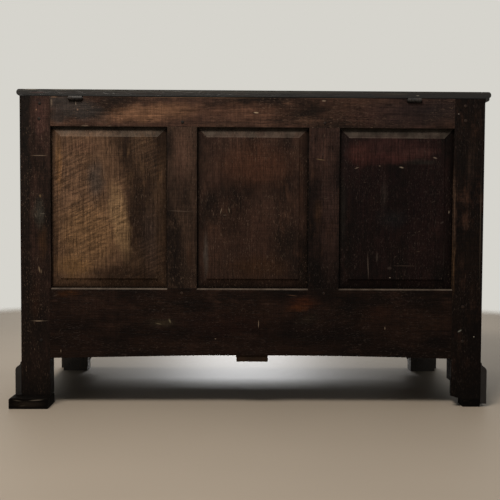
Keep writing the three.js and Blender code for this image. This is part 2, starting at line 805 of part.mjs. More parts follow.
// Dovetails on the end of a drawer side, drawn in (y, z) and run through its thickness
function tails(x, root_y, direction, length, z_range, by) {
  const pitch = (z_range[1] - z_range[0]) / dovetail_count;
  return Array.from({ length: dovetail_count }, (_, i) => {
    const middle = z_range[0] + pitch * (i + 1 / 2);
    const root = pitch * dovetail_share / 2 + by;
    const end = root + dovetail_flare;
    const tip_y = root_y + direction * (length + by);
    const heel_y = root_y - direction * fit_gap;
    const points = [[heel_y, middle - root], [tip_y, middle - end], [tip_y, middle + end], [heel_y, middle + root]];
    return run(outline(direction > 0 ? points : points.reverse()), 'x', x[0] - by, x[1] + by);
  });
}

// Handle: a cast plate with two posts, and a bail that swings on them
function handle_plate(x, y, z) {
  const shape = new THREE.Shape();
  const curve_to = (across_1, up_1, across_2, up_2) => {
    shape.quadraticCurveTo(x + across_1, z + up_1, x + across_2, z + up_2);
  };
  shape.moveTo(x - plate_half_width, z);
  for (const side of [-1, 1]) {
    const wing = side * plate_half_width;
    const height = side * plate_half_height;
    const shoulder = side * plate_shoulder;
    const waist = side * plate_waist;
    curve_to(wing, height, shoulder, waist);
    curve_to(0, height + waist, -shoulder, waist);
    curve_to(-wing, height, -wing, 0);
  }
  const plate = run(shape, 'y', y - plate_thickness, y);
  const posts = [-1, 1].flatMap((sign) => {
    const post_x = x + sign * post_spacing / 2;
    const stem = new THREE.CylinderGeometry(post_stem_radius, post_stem_radius, post_reach, round_segments);
    const head = new THREE.SphereGeometry(post_head_radius, round_segments / 2, round_segments / 2);
    return [
      solid(stem.translate(post_x, y - post_reach / 2, z)),
      solid(head.translate(post_x, y - post_reach, z)),
    ];
  });
  const holes = rod_along_x(pivot_hole_radius, x - post_spacing, x + post_spacing, y - post_reach, z);
  return joined([plate, ...posts]).subtract(holes);
}

// One swan neck from the post outwards, down and back in to the middle of the grip
function bail_half(sign, x, y, z) {
  const post_x = post_spacing / 2;
  const pin_start = post_x - post_head_radius - bail_pin_end;
  const bend = post_x + post_head_radius + bail_pin_end;
  const place = (across, down) => new THREE.Vector3(x + sign * across, y, z - down);
  const pin = [place(pin_start, 0), place(bend, 0)];
  const neck = [
    place(bend, 0),
    place(bend + bail_neck, bail_neck),
    place(bend, bail_drop / 2),
    place(post_x - bail_neck, bail_drop - bail_neck / 2),
    place(0, bail_drop),
  ];
  return { pin, neck };
}

function bail(x, y, z) {
  const left = bail_half(-1, x, y, z);
  const right = bail_half(1, x, y, z);
  const path = new THREE.CurvePath();
  path.add(new THREE.LineCurve3(...left.pin));
  path.add(new THREE.CatmullRomCurve3([...left.neck, ...right.neck.slice(0, -1).reverse()]));
  path.add(new THREE.LineCurve3(...right.pin.reverse()));
  const section = new THREE.Shape();
  section.absarc(0, 0, bail_radius, 0, 2 * Math.PI, false);
  const points = section.getPoints(bail_sides / 2).slice(0, -1);
  return solid(new THREE.ExtrudeGeometry(new THREE.Shape(points), {
    steps: bail_steps, extrudePath: path, bevelEnabled: false,
  }));
}

// Drawers
const drawer_z = [base_rail_top + fit_gap, drawer_opening_top - drawer_side_drop];
const bottom_z = [drawer_z[0] + drawer_bottom_lift, drawer_z[0] + drawer_bottom_lift + drawer_bottom_thickness];
const front_face = -half_depth;
const drawer_rear = rail_inner_y - drawer_back_gap;
const front_inner = front_face + drawer_front_thickness;
const lining_inner_rear = drawer_rear - drawer_lining;
const handle_z = (base_rail_top + drawer_opening_top) / 2;
const lip_y = [front_face - fit_gap - lip_thickness, front_face - fit_gap];

for (const [side, sign] of [['right', 1], ['left', -1]]) {
  const opening = [sign * divider_width / 2, sign * stile_inner_x].sort((a, b) => a - b);
  const x = [opening[0] + slide_gap, opening[1] - slide_gap];
  const middle_x = (x[0] + x[1]) / 2;
  const inner_x = [x[0] + drawer_lining, x[1] - drawer_lining];

  const lip_x = [opening[0] - lip_reach, opening[1] + lip_reach];
  const lip_z = [base_rail_top - lip_reach, drawer_opening_top + lip_reach];
  const rounded = ([low, high]) => [
    [low, lip_y[1]], [high, lip_y[1]], [high, lip_y[0] + lip_round],
    [high - lip_round, lip_y[0]], [low + lip_round, lip_y[0]], [low, lip_y[0] + lip_round],
  ];
  const lip = run(outline(rounded(lip_x)), 'z', ...lip_z)
    .intersect(run(outline(rounded(lip_z).map(([z, y]) => [y, z])), 'x', ...lip_x));
  const front_block = block(box(x, [lip_y[1] - fit_gap, front_inner],
    [base_rail_top + slide_gap, drawer_opening_top - slide_gap]));
  const bottom_board = {
    x: [inner_x[0] - drawer_groove + fit_gap, inner_x[1] + drawer_groove - fit_gap],
    y: [front_inner - drawer_groove + fit_gap, drawer_rear],
    z: bottom_z,
  };
  const bottom_groove = { ...grown(bottom_board, fit_gap), y: [bottom_board.y[0] - fit_gap, drawer_rear + overrun] };

  const side_pieces = [['inner', sign > 0 ? 0 : 1], ['outer', sign > 0 ? 1 : 0]].map(([which, end]) => {
    const side_x = end === 0 ? [x[0], inner_x[0]] : [inner_x[1], x[1]];
    const front_tails = (by) => tails(side_x, front_inner, -1, dovetail_length, drawer_z, by);
    const back_tails = (by) => tails(side_x, lining_inner_rear, 1, drawer_lining, drawer_z, by);
    const body = block(box(side_x, [front_inner + fit_gap, lining_inner_rear - fit_gap], drawer_z));
    return { which, body, front_tails, back_tails };
  });
  const board_name = { inner: sign > 0 ? 'left' : 'right', outer: side };
  for (const { which, body, front_tails, back_tails } of side_pieces) {
    const piece = joined([body, ...front_tails(0), ...back_tails(0)]);
    add(`${side}_drawer_${board_name[which]}_side`, cut(piece, [bottom_groove]), 'lining');
  }
  add(`${side}_drawer_front`, cut(lip.add(front_block), [
    ...side_pieces.flatMap((piece) => piece.front_tails(fit_gap)), bottom_groove,
  ]), 'frame');
  add(`${side}_drawer_back`, cut(
    block(box(x, [lining_inner_rear, drawer_rear], [bottom_z[1] + fit_gap, drawer_z[1] - drawer_back_drop])),
    side_pieces.flatMap((piece) => piece.back_tails(fit_gap)),
  ), 'lining');
  add(`${side}_drawer_bottom`, block(bottom_board), 'lining');

  for (const [hand, hand_sign] of [['left', -1], ['right', 1]]) {
    const handle_x = middle_x + hand_sign * handle_place_share * (x[1] - x[0]);
    const plate_y = lip_y[0];
    add(`${side}_drawer_${hand}_handle_plate`, handle_plate(handle_x, plate_y, handle_z), 'brass');
    add(`${side}_drawer_${hand}_bail`, bail(handle_x, plate_y - post_reach, handle_z), 'brass');
  }
}

// The chest stands with the middle of its box over the origin
const reach_box = new THREE.Box3().setFromObject(chest);
const reach_centre = reach_box.getCenter(new THREE.Vector3());
chest.position.set(-reach_centre.x, -reach_centre.y, 0);

export default chest;
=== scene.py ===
# %% [markdown]
# A joined oak mule chest, dressed for a photograph of its back
#
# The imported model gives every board, hinge and handle at its real size. This lesson leaves those
# shapes where they are and gives them what two or three centuries of use leave on oak: dark wax,
# grey weathering, rubbed arrises, scratches, pegs and nails. It also sets the camera, floor and light.

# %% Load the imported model
import math
import random
from collections import namedtuple

import bpy
from mathutils import Matrix, Vector


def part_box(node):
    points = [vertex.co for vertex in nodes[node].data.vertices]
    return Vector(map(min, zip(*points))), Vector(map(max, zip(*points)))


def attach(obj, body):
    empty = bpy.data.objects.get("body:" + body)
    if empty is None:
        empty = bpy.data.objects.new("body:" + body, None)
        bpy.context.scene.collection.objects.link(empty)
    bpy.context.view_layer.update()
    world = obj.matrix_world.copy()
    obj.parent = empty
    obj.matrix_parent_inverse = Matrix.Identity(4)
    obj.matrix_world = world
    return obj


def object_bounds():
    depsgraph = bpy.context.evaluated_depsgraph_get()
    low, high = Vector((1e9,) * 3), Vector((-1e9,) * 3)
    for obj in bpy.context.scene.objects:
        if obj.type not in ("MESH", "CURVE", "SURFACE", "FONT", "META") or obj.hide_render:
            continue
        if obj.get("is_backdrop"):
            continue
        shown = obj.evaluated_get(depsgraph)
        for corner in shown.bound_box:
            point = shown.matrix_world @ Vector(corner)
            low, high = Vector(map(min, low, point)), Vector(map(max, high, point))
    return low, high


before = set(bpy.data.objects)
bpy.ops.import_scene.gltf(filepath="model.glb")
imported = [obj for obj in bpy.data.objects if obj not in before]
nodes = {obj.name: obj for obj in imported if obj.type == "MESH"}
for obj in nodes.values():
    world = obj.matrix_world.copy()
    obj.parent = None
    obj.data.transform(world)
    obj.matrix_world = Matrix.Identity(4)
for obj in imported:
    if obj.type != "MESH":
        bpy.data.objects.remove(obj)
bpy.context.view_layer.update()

# %% [markdown]
# The camera
#
# The photograph looks at the back from a little above half the chest's height. Its place, turn and
# lens were fitted to the edges of the stiles, rails, lid and feet, whose real places are known.
# A lens without shift keeps the framing true in every other view as well.

# %% Camera
MILLIMETRE = 0.001
# The photograph's width and the focal length in pixels, and the sensor's width in millimetres
PHOTO_SIZE, FOCAL_PIXELS = 500, 760.23
SENSOR_WIDTH = 36.0
CAMERA_PLACE = Vector((30.4, 2437.0, 538.8)) * MILLIMETRE
CAMERA_TURN = math.radians(180 - 0.742)
CAMERA_TILT = math.radians(90 - 2.365)
CAMERA_ROLL = math.radians(0.276)

bpy.ops.object.select_all(action="DESELECT")
bpy.ops.object.camera_add()
camera = bpy.context.object
camera.name = "camera"
camera.data.lens = FOCAL_PIXELS / PHOTO_SIZE * SENSOR_WIDTH
camera.data.sensor_width = SENSOR_WIDTH
turn = Matrix.Rotation(CAMERA_TURN, 4, "Z") @ Matrix.Rotation(CAMERA_TILT, 4, "X")
roll = Matrix.Rotation(CAMERA_ROLL, 4, "Z")
camera.matrix_world = Matrix.Translation(CAMERA_PLACE) @ turn @ roll
bpy.context.scene.camera = camera
bpy.context.scene.view_settings.view_transform = "Standard"
print("lens", round(camera.data.lens, 2), "mm")

# %% [markdown]
# Two helpers for every finish
#
# Colours are given as sRGB hex values, but shaders calculate with linear light, so one
# function converts them. The other adds a shader node with its settings and links. Passing a node or
# a socket links it, and passing a number or a colour sets the input.
#
# Inputs go by name, or by number where their names are long or shared. A Math node takes its numbers
# as 0 and 1. A Map Range node takes a value as 0 and turns the range from 1 to 2 into the range from
# 3 to 4, which is 0 to 1 where nothing else is said.

# %% Colour and node helpers
SMOOTH = {"interpolation_type": "SMOOTHSTEP"}
# The colour sockets of the Mix node
FACTOR, UNDER, OVER = 0, 6, 7


def linear(hex_colour):
    """An sRGB colour such as "#8a6a44" as linear red, green, blue and alpha."""
    channels = [int(hex_colour[i:i + 2], 16) / 255 for i in (1, 3, 5)]
    return [c / 12.92 if c <= 0.04045 else ((c + 0.055) / 1.055) ** 2.4 for c in channels] + [1.0]


def add(tree, kind, inputs=None, **settings):
    """A shader node with its settings. An input is a value, a socket, or a node for its live output."""
    node = tree.nodes.new("ShaderNode" + kind)
    for name, value in settings.items():
        setattr(node, name, value)
    for name, value in (inputs or {}).items():
        if isinstance(value, bpy.types.Node):
            value = next(socket for socket in value.outputs if socket.enabled)
        if isinstance(value, bpy.types.NodeSocket):
            tree.links.new(value, node.inputs[name])
        else:
            node.inputs[name].default_value = value
    return node


def blank_material(name):
    """A new material whose node tree is empty."""
    material = bpy.data.materials.new(name)
    material.use_nodes = True
    material.node_tree.nodes.clear()
    return material


print("sRGB #808080 is", round(linear("#808080")[0], 3), "of full light")

# %% [markdown]
# Floor, backdrop and light
#
# The chest stands on a plain pale floor that fades into a plain pale backdrop. Its colour
# is what the camera, glossy and clear surfaces see of the world, while a calmer even light
# falls on the boards. A narrow lamp high behind the photographer's left shoulder draws the dark lines
# under the rails. A low one beyond the chest shines under it like a window, so that the front feet
# throw their shadows towards the camera. A modelled backdrop could stand behind the chest instead, but
# it would be in the way of the views from the other sides.

# %% World
BACKDROP_COLOUR = "#d6d4cd"
AIR_COLOUR = "#f1efe9"
AIR_STRENGTH = 0.2

world = bpy.data.worlds.new("studio")
bpy.context.scene.world = world
world.use_nodes = True
sky = world.node_tree
sky.nodes.clear()
path = add(sky, "LightPath")
mirrored = add(sky, "Math", {0: path.outputs["Is Glossy Ray"], 1: path.outputs["Is Transmission Ray"]},
               operation="MAXIMUM")
seen = add(sky, "Math", {0: path.outputs["Is Camera Ray"], 1: mirrored}, operation="MAXIMUM")
even_light = add(sky, "Background", {"Color": linear(AIR_COLOUR), "Strength": AIR_STRENGTH})
backdrop = add(sky, "Background", {"Color": linear(BACKDROP_COLOUR), "Strength": 1.0})
shown = add(sky, "MixShader", {0: seen, 1: even_light, 2: backdrop})
add(sky, "OutputWorld", {"Surface": shown})
print("even light at", AIR_STRENGTH)

# %% Floor
FLOOR_RADIUS, FLOOR_SIDES = 3.0, 96
FADE_START, FADE_END = 2.25, 2.6
FLOOR_COLOUR = "#93897d"
CLOUDS_A_METRE = 1.3
DARKEST_CLOUD, PALEST_CLOUD = 0.96, 1.04

bpy.ops.object.select_all(action="DESELECT")
bpy.ops.mesh.primitive_circle_add(vertices=FLOOR_SIDES, radius=FLOOR_RADIUS, fill_type="NGON")
floor = bpy.context.object
floor.name = "studio_floor"
paint = blank_material("matt_studio_floor")
tree = paint.node_tree
place = add(tree, "TexCoord").outputs["Object"]
reach = add(tree, "VectorMath", {0: place}, operation="LENGTH").outputs["Value"]
cloud = add(tree, "TexNoise", {"Vector": place, "Scale": CLOUDS_A_METRE, "Detail": 2.0})
tone = add(tree, "MapRange", {0: cloud, 1: 0.3, 2: 0.7, 3: DARKEST_CLOUD, 4: PALEST_CLOUD})
tint = add(tree, "VectorMath", {0: linear(FLOOR_COLOUR)[:3], "Scale": tone}, operation="SCALE")
matt = add(tree, "BsdfPrincipled", {"Base Color": tint, "Roughness": 0.55, "Specular IOR Level": 0.3})
clear = add(tree, "BsdfTransparent")
fade = add(tree, "MapRange", {0: reach, 1: FADE_START, 2: FADE_END}, **SMOOTH)
add(tree, "OutputMaterial", {"Surface": add(tree, "MixShader", {0: fade, 1: matt, 2: clear})})
floor.data.materials.append(paint)
floor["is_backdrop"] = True
print("floor", FLOOR_RADIUS, "m")

# %% Lamps
Lamp = namedtuple("Lamp", "name place size watts colour")
LAMPS = [
    Lamp("high_striplight", (0.8, 1.75, 2.95), (1.3, 0.6), 100, "#fff6ea"),
    Lamp("overhead_softbox", (0.0, -0.4, 3.0), (2.2, 1.4), 26, "#fbfaf7"),
    Lamp("low_window", (0.0, -3.1, 0.95), (0.8, 0.55), 36, "#f6f7f9"),
]
AIM = Vector((0, 0, 0.4))
for lamp in LAMPS:
    bpy.ops.object.light_add(type="AREA", location=lamp.place)
    light = bpy.context.object
    light.name = lamp.name
    light.data.shape = "RECTANGLE"
    light.data.size, light.data.size_y = lamp.size
    light.data.energy = lamp.watts
    light.data.color = linear(lamp.colour)[:3]
    light.rotation_euler = (AIM - light.location).to_track_quat("-Z", "Y").to_euler()
print("lamps:", [lamp.name for lamp in LAMPS])

# %% [markdown]
# Oak: where the pattern lies on a board
#
# Every board was sawn or riven from its own part of a log. One oak finish could cover the whole
# chest, but then the grain would run on from board to board. So each board gets its own piece of an
# endless pattern. It is worked out in millimetres, with its first direction along the board's
# grain, its second across the face and its third through the thickness. Seeding the shift with the
# board's name gives the same chest on each run.

# %% A board's own space
METRES_TO_MM = 1000.0
Board = namedtuple("Board", "name tree place local half grain wood cut panel")


def board_space(tree, name, along, depth):
    """Object coordinates, then the same in millimetres from the board's middle, and its half sizes."""
    low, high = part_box(name)
    across = ({"X", "Y", "Z"} - {along, depth}).pop()
    place = add(tree, "TexCoord").outputs["Object"]
    centred = add(tree, "VectorMath", {0: place, 1: (low + high) / 2}, operation="SUBTRACT")
    split = add(tree, "SeparateXYZ", {0: centred})
    turned = add(tree, "CombineXYZ", {
        0: split.outputs[along], 1: split.outputs[across], 2: split.outputs[depth]})
    local = add(tree, "VectorMath", {0: turned, "Scale": METRES_TO_MM}, operation="SCALE")
    half = [(high - low)["XYZ".index(axis)] / 2 * METRES_TO_MM for axis in (along, across, depth)]
    return place, local, half


low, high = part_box("lid")
print("the lid's board in millimetres:", [round(side * METRES_TO_MM) for side in high - low])

# %% Patterns drawn out along the grain
# Length and width are in millimetres. The noise runs from 0 to 1, and as a mask it begins to show at
# start and is full at end.
Pattern = namedtuple("Pattern", "length width detail roughness start end", defaults=(3.0, 0.5, 0.0, 1.0))


def streaks(tree, space, pattern):
    """A soft random pattern, drawn out along the first direction of its space."""
    stretch = (1 / pattern.length, 1 / pattern.width, 1 / pattern.width)
    sized = add(tree, "VectorMath", {0: space, 1: stretch}, operation="MULTIPLY")
    return add(tree, "TexNoise", {
        "Vector": sized, "Scale": 1.0, "Detail": pattern.detail, "Roughness": pattern.roughness})


def patches(tree, space, pattern, low=0.0, high=1.0, **ramp):
    """The pattern as a mask, which goes from low where it is weak to high where it is strong."""
    noise = streaks(tree, space, pattern)
    return add(tree, "MapRange", {0: noise, 1: pattern.start, 2: pattern.end, 3: low, 4: high}, **ramp)


# %% Its own part of the log
LOG_REACH = 900.0
WANDER, WANDER_SWING = Pattern(340, 110, 2.0), 26.0
MIDDLE_OF_NOISE = (0.5, 0.5, 0.5)


def grain_space(tree, name, local):
    """The board's space, shifted to its own part of the log and wandering as grown wood does."""
    chance = random.Random(name)
    shift = [chance.uniform(-LOG_REACH, LOG_REACH) for _ in range(3)]
    moved = add(tree, "VectorMath", {0: local, 1: shift}, operation="ADD")
    wander = streaks(tree, moved, WANDER).outputs["Color"]
    swing = add(tree, "VectorMath", {0: wander, 1: MIDDLE_OF_NOISE}, operation="SUBTRACT")
    sized = add(tree, "VectorMath", {0: swing, 1: (0, WANDER_SWING, WANDER_SWING)}, operation="MULTIPLY")
    return add(tree, "VectorMath", {0: moved, 1: sized}, operation="ADD")


print("grain wanders by up to", WANDER_SWING / 2, "mm")

# %% [markdown]
# Oak: wax, soot and rubbed wood
#
# Three browns mix in large soft clouds: the dark of old wax and soot, the board's own brown, and the
# paler wood where the wax is rubbed off. Single stains then lie under the grain. They could be painted
# on a picture, but a formula stays sharp at any size and needs no file. So a mark of any
# kind is a soft ellipsoid at a measured place with a ragged rim, long and thin for a scratch.

# %% Clouds of wax
WAX_CLOUDS = Pattern(230, 90, 4.0, 0.55, 0.34, 0.64)
RUBBED_OFF = Pattern(90, 34, 6.0, 0.7, 0.5, 0.78)


def waxed(board):
    """The board's colour before its grain: clouds of dark wax, its own brown and rubbed places."""
    tree, grain, wood = board.tree, board.grain, board.wood
    clouds = patches(tree, grain, WAX_CLOUDS, **SMOOTH)
    colour = add(tree, "Mix", {FACTOR: clouds, UNDER: linear(wood.dark), OVER: linear(wood.mid)},
                 data_type="RGBA")
    paler = patches(tree, grain, RUBBED_OFF, **SMOOTH)
    return add(tree, "Mix", {FACTOR: paler, UNDER: colour, OVER: linear(wood.light)}, data_type="RGBA")


print("wax clouds", WAX_CLOUDS.length, "by", WAX_CLOUDS.width, "mm")

# %% Single marks
Mark = namedtuple("Mark", "place size colour strength soft lean", defaults=(0.6, 0.7, 0.0))
# The most that a rim is pushed about, in metres, and the length of the waves in it, in millimetres
RAGGED, RAGGED_STEP = 0.03, 26.3
BACK_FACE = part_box("back_top_rail")[1].y
# How far a mark on the back reaches through its board, in metres
THROUGH = 0.2


def on_back(x, z, wide, tall, colour, strength=0.6, soft=0.7, lean=0.0):
    """A mark on the back: its middle and half sizes in metres, and its lean in degrees."""
    return Mark((x, BACK_FACE, z), (wide, THROUGH, tall), colour, strength, soft, lean)


def marked(board, colour, marks):
    """The colour with single marks laid over it."""
    if not marks:
        return colour
    tree = board.tree
    drift = add(tree, "TexNoise", {
        "Vector": board.place, "Scale": METRES_TO_MM / RAGGED_STEP, "Detail": 4.0}).outputs["Color"]
    swing = add(tree, "VectorMath", {0: drift, 1: MIDDLE_OF_NOISE}, operation="SUBTRACT")
    for mark in marks:
        ragged = add(tree, "VectorMath", {0: swing, "Scale": min(RAGGED, *mark.size)}, operation="SCALE")
        moved = add(tree, "VectorMath", {0: board.place, 1: ragged}, operation="ADD")
        unit = add(tree, "Mapping", {
            "Vector": moved, "Location": mark.place, "Rotation": (0, math.radians(mark.lean), 0),
            "Scale": mark.size}, vector_type="TEXTURE")
        reach = add(tree, "VectorMath", {0: unit}, operation="LENGTH")
        mask = add(tree, "MapRange", {0: reach, 1: 1 - mark.soft, 2: 1.0, 3: mark.strength, 4: 0.0}, **SMOOTH)
        colour = add(tree, "Mix", {FACTOR: mask, UNDER: colour, OVER: linear(mark.colour)},
                     data_type="RGBA")
    return colour


print("the back's face is at y", round(BACK_FACE, 4))

# %% [markdown]
# Oak: fibres, rings, pores and rays
#
# Oak shows four things. Growth rings are rings round the heart of the log, so a board cut beside the
# heart shows arches, and one cut through it shows straight lines. Fibres are fine streaks. Pores
# are short dark dashes that gather in each ring's spring wood. Rays are pale bands that
# cross the grain on quartered boards. The frame saw left fine lines straight across each board. A
# picture of oak could be wrapped round each board, but it would repeat and it would smear on the end
# grain. Noise in the board's own space runs right through it, as real grain does. All are drawn
# two to three times too coarse, because the real ones are finer than a pixel of the photograph.

# %% Growth rings
RING_WIDTH = 8.0
# The rings of a Wave texture of scale 1 lie this far apart
WAVE_STEP = 2 * math.pi / 20
# How far the heart of the log lies beside the board and behind it, in millimetres
HEART = {"straight": (330, 60), "crown": (12, 95), "ray": (20, 420)}
HEART_SPREAD = (0.8, 1.2)
LEAN_ACROSS, LEAN_THROUGH = 0.06, 0.03


def growth_rings(board):
    """Nothing at each ring's open spring wood, and rising to one at its dense summer wood."""
    chance = random.Random(board.name + " heart")
    across, depth = HEART[board.cut]
    side = chance.choice((-1, 1))
    heart = (0, side * across * chance.uniform(*HEART_SPREAD), depth * chance.uniform(*HEART_SPREAD))
    lean = (0, chance.uniform(-LEAN_ACROSS, LEAN_ACROSS), chance.uniform(-LEAN_THROUGH, LEAN_THROUGH))
    tipped = add(board.tree, "Mapping", {"Vector": board.grain, "Rotation": lean})
    ringed = add(board.tree, "VectorMath", {0: tipped, 1: heart}, operation="ADD")
    return add(board.tree, "TexWave", {
        "Vector": ringed, "Scale": WAVE_STEP / RING_WIDTH, "Distortion": 5.0, "Detail": 3.0,
        "Detail Scale": 0.8}, wave_type="RINGS", rings_direction="X", wave_profile="SAW").outputs["Fac"]


print("growth rings every", RING_WIDTH, "mm")

# %% Fibres, blotches, pores and saw lines
FIBRES = Pattern(150, 3.2, 6.0, 0.75, 0.36, 0.64)
PORES = Pattern(24, 2.6, 2.0, 0.5, 0.54, 0.64)
SAW_LINES = Pattern(2.6, 70.0, 2.0, 0.5, 0.3, 0.7)
# How far each one darkens or lightens, as a share of the wood's contrast
BLOTCH_SHARE, SAW_SHARE, PORE_SHARE = 0.7, 0.5, 1.3
RING_DARK_SHARE, RING_PALE_SHARE = 0.26, 0.16
DARKEST_PORE = 0.25
# Where in a ring its spring wood ends, and how many of the pores are left beyond it
SPRING_END, PORES_BEYOND = 0.45, 0.2


def grained(board, colour):
    """The colour with fibres, rings and pores in it, and how high the fibres stand."""
    tree, grain, contrast = board.tree, board.grain, board.wood.contrast
    blotches = Pattern(*board.wood.blotch, 6.0, 0.8, 0.36, 0.68)
    fibre = streaks(tree, grain, FIBRES)
    ring = growth_rings(board)
    spring = add(tree, "MapRange", {0: ring, 1: 0.0, 2: SPRING_END, 3: 1.0, 4: PORES_BEYOND})
    holes = patches(tree, grain, PORES, **SMOOTH)
    pore = add(tree, "Math", {0: holes, 1: spring}, operation="MULTIPLY")
    value = add(tree, "MapRange", {
        0: fibre, 1: FIBRES.start, 2: FIBRES.end, 3: 1 - contrast, 4: 1 + contrast})
    by_blotch = patches(tree, grain, blotches, 1 - BLOTCH_SHARE * contrast, 1 + contrast)
    by_saw = patches(tree, board.local, SAW_LINES, 1 - SAW_SHARE * contrast, 1 + SAW_SHARE * contrast)
    by_ring = add(tree, "MapRange", {
        0: ring, 3: 1 - RING_DARK_SHARE * contrast, 4: 1 + RING_PALE_SHARE * contrast})
    by_pore = add(tree, "MapRange", {0: pore, 3: 1.0, 4: max(DARKEST_PORE, 1 - PORE_SHARE * contrast)})
    for share in (by_blotch, by_saw, by_ring, by_pore):
        value = add(tree, "Math", {0: value, 1: share}, operation="MULTIPLY")
    colour = add(tree, "VectorMath", {0: colour, "Scale": value}, operation="SCALE")
    return colour, fibre, pore


print("pores", PORES.length, "mm long")

# %% Rays of quartered oak
# Rays run across the grain, so their length is the pattern's width
RAY_LEAN = -0.42
RAYS = Pattern(6.5, 62.0, 2.0, 0.5, 0.34, 0.66)
RAY_SPECKLE = Pattern(2.4, 2.4, 2.0, 0.5, 0.3, 0.7)
RAY_PLACES = Pattern(190, 110, 3.0, 0.5, 0.32, 0.6)
RAY_DARK, RAY_PALE = -0.34, 0.44
FLECK_DARK, FLECK_PALE = -0.3, 0.34


def rayed(board, colour):
    """The colour with slanting bands across the grain, made of small flecks."""
    tree = board.tree
    turned = add(tree, "Mapping", {"Vector": board.local, "Rotation": (0, 0, RAY_LEAN)})
    where = patches(tree, board.grain, RAY_PLACES, **SMOOTH)
    by_band = patches(tree, turned, RAYS, RAY_DARK, RAY_PALE, **SMOOTH)
    by_speckle = patches(tree, board.local, RAY_SPECKLE, FLECK_DARK, FLECK_PALE, **SMOOTH)
    light = add(tree, "Math", {0: by_band, 1: by_speckle}, operation="ADD")
    there = add(tree, "Math", {0: light, 1: where}, operation="MULTIPLY")
    value = add(tree, "Math", {0: there, 1: 1.0}, operation="ADD")
    return add(tree, "VectorMath", {0: colour, "Scale": value}, operation="SCALE")


print("rays", RAYS.width, "mm long, every", RAYS.length, "mm")

# %% [markdown]
# Oak: rubbed arrises, dust, grime, and painted highlight and shade
#
# Hands, brooms and moving men rub a board's edges first. Blender can find edges by itself, with a Bevel
# node, which is slow, or with Pointiness, which needs a dense mesh. On the skin of a board the middle
# one of its three distances to the sides is the distance to the nearest arris, so rubbed edges can be
# placed by a formula. Along a panel's frame, dirt and painted shade darken the wood, with a painted
# shadow under the rail above. Every slope that looks up gets dust and a painted highlight, and the
# boards grow darker towards the floor, partly with dirt and partly with painted shade.

# %% Rubbed arrises
RUBBED_LENGTHS, LEAST_RUBBED = Pattern(60, 14, 4.0, 0.7, 0.4, 0.65), 0.1
WORN_START, MOST_WORN = 0.25, 0.8
JOINT_START, JOINT_DIRT, MOST_JOINT_DIRT = 0.5, 1.3, 0.85
# Nearly black: soot in joints, seams and nail heads, and also the colour of painted shade and shadow
SOOT_AND_SHADE = "#060403"


def side_gaps(board):
    """How far in millimetres a point lies inside the board's ends, its edges and its faces."""
    size = add(board.tree, "VectorMath", {0: board.local}, operation="ABSOLUTE")
    gap = add(board.tree, "VectorMath", {0: tuple(board.half), 1: size}, operation="SUBTRACT")
    return add(board.tree, "SeparateXYZ", {0: gap}).outputs


def arris_distance(board):
    """The distance in millimetres from a point on the board's skin to its nearest arris."""
    tree = board.tree
    ends, edges, faces = side_gaps(board)
    lower = add(tree, "Math", {0: ends, 1: edges}, operation="MINIMUM")
    upper = add(tree, "Math", {0: ends, 1: edges}, operation="MAXIMUM")
    capped = add(tree, "Math", {0: upper, 1: faces}, operation="MINIMUM")
    return add(tree, "Math", {0: lower, 1: capped}, operation="MAXIMUM")


def rubbed(board, colour):
    """The colour with its arrises rubbed pale in uneven lengths, and a dark line of dirt in the joint."""
    tree, wood = board.tree, board.wood
    arris = arris_distance(board)
    uneven = patches(tree, board.grain, RUBBED_LENGTHS, LEAST_RUBBED, wood.wear)
    share = add(tree, "Math", {0: arris, 1: uneven}, operation="DIVIDE")
    worn = add(tree, "MapRange", {0: share, 1: WORN_START, 2: 1.0, 3: MOST_WORN, 4: 0.0}, **SMOOTH)
    colour = add(tree, "Mix", {FACTOR: worn, UNDER: colour, OVER: linear(wood.worn)}, data_type="RGBA")
    joint = add(tree, "MapRange", {
        0: arris, 1: JOINT_START, 2: JOINT_DIRT, 3: MOST_JOINT_DIRT, 4: 0.0})
    return add(tree, "Mix", {FACTOR: joint, UNDER: colour, OVER: linear(SOOT_AND_SHADE)}, data_type="RGBA")


print("dirt in the joints", JOINT_DIRT, "mm wide")

# %% Dirt and painted shade along a panel's frame
PANEL_TONGUE = 9.7
FRAME_DIRT_AND_SHADE = Pattern(60, 40, 3.0, 0.5, 0.35, 0.65)
# How far the dirt and the painted shade reach in, in millimetres, and how strong each one is
LEAST_REACH, MOST_REACH, DIRT_AND_SHADE_STRENGTH = 14.0, 40.0, 0.7
CORNER_SHADE_WIDTH, CORNER_SHADE_STRENGTH = 7.0, 0.95
RAIL_SHADOW_START, RAIL_SHADOW_END, RAIL_SHADOW_STRENGTH = 6.0, 9.0, 0.97


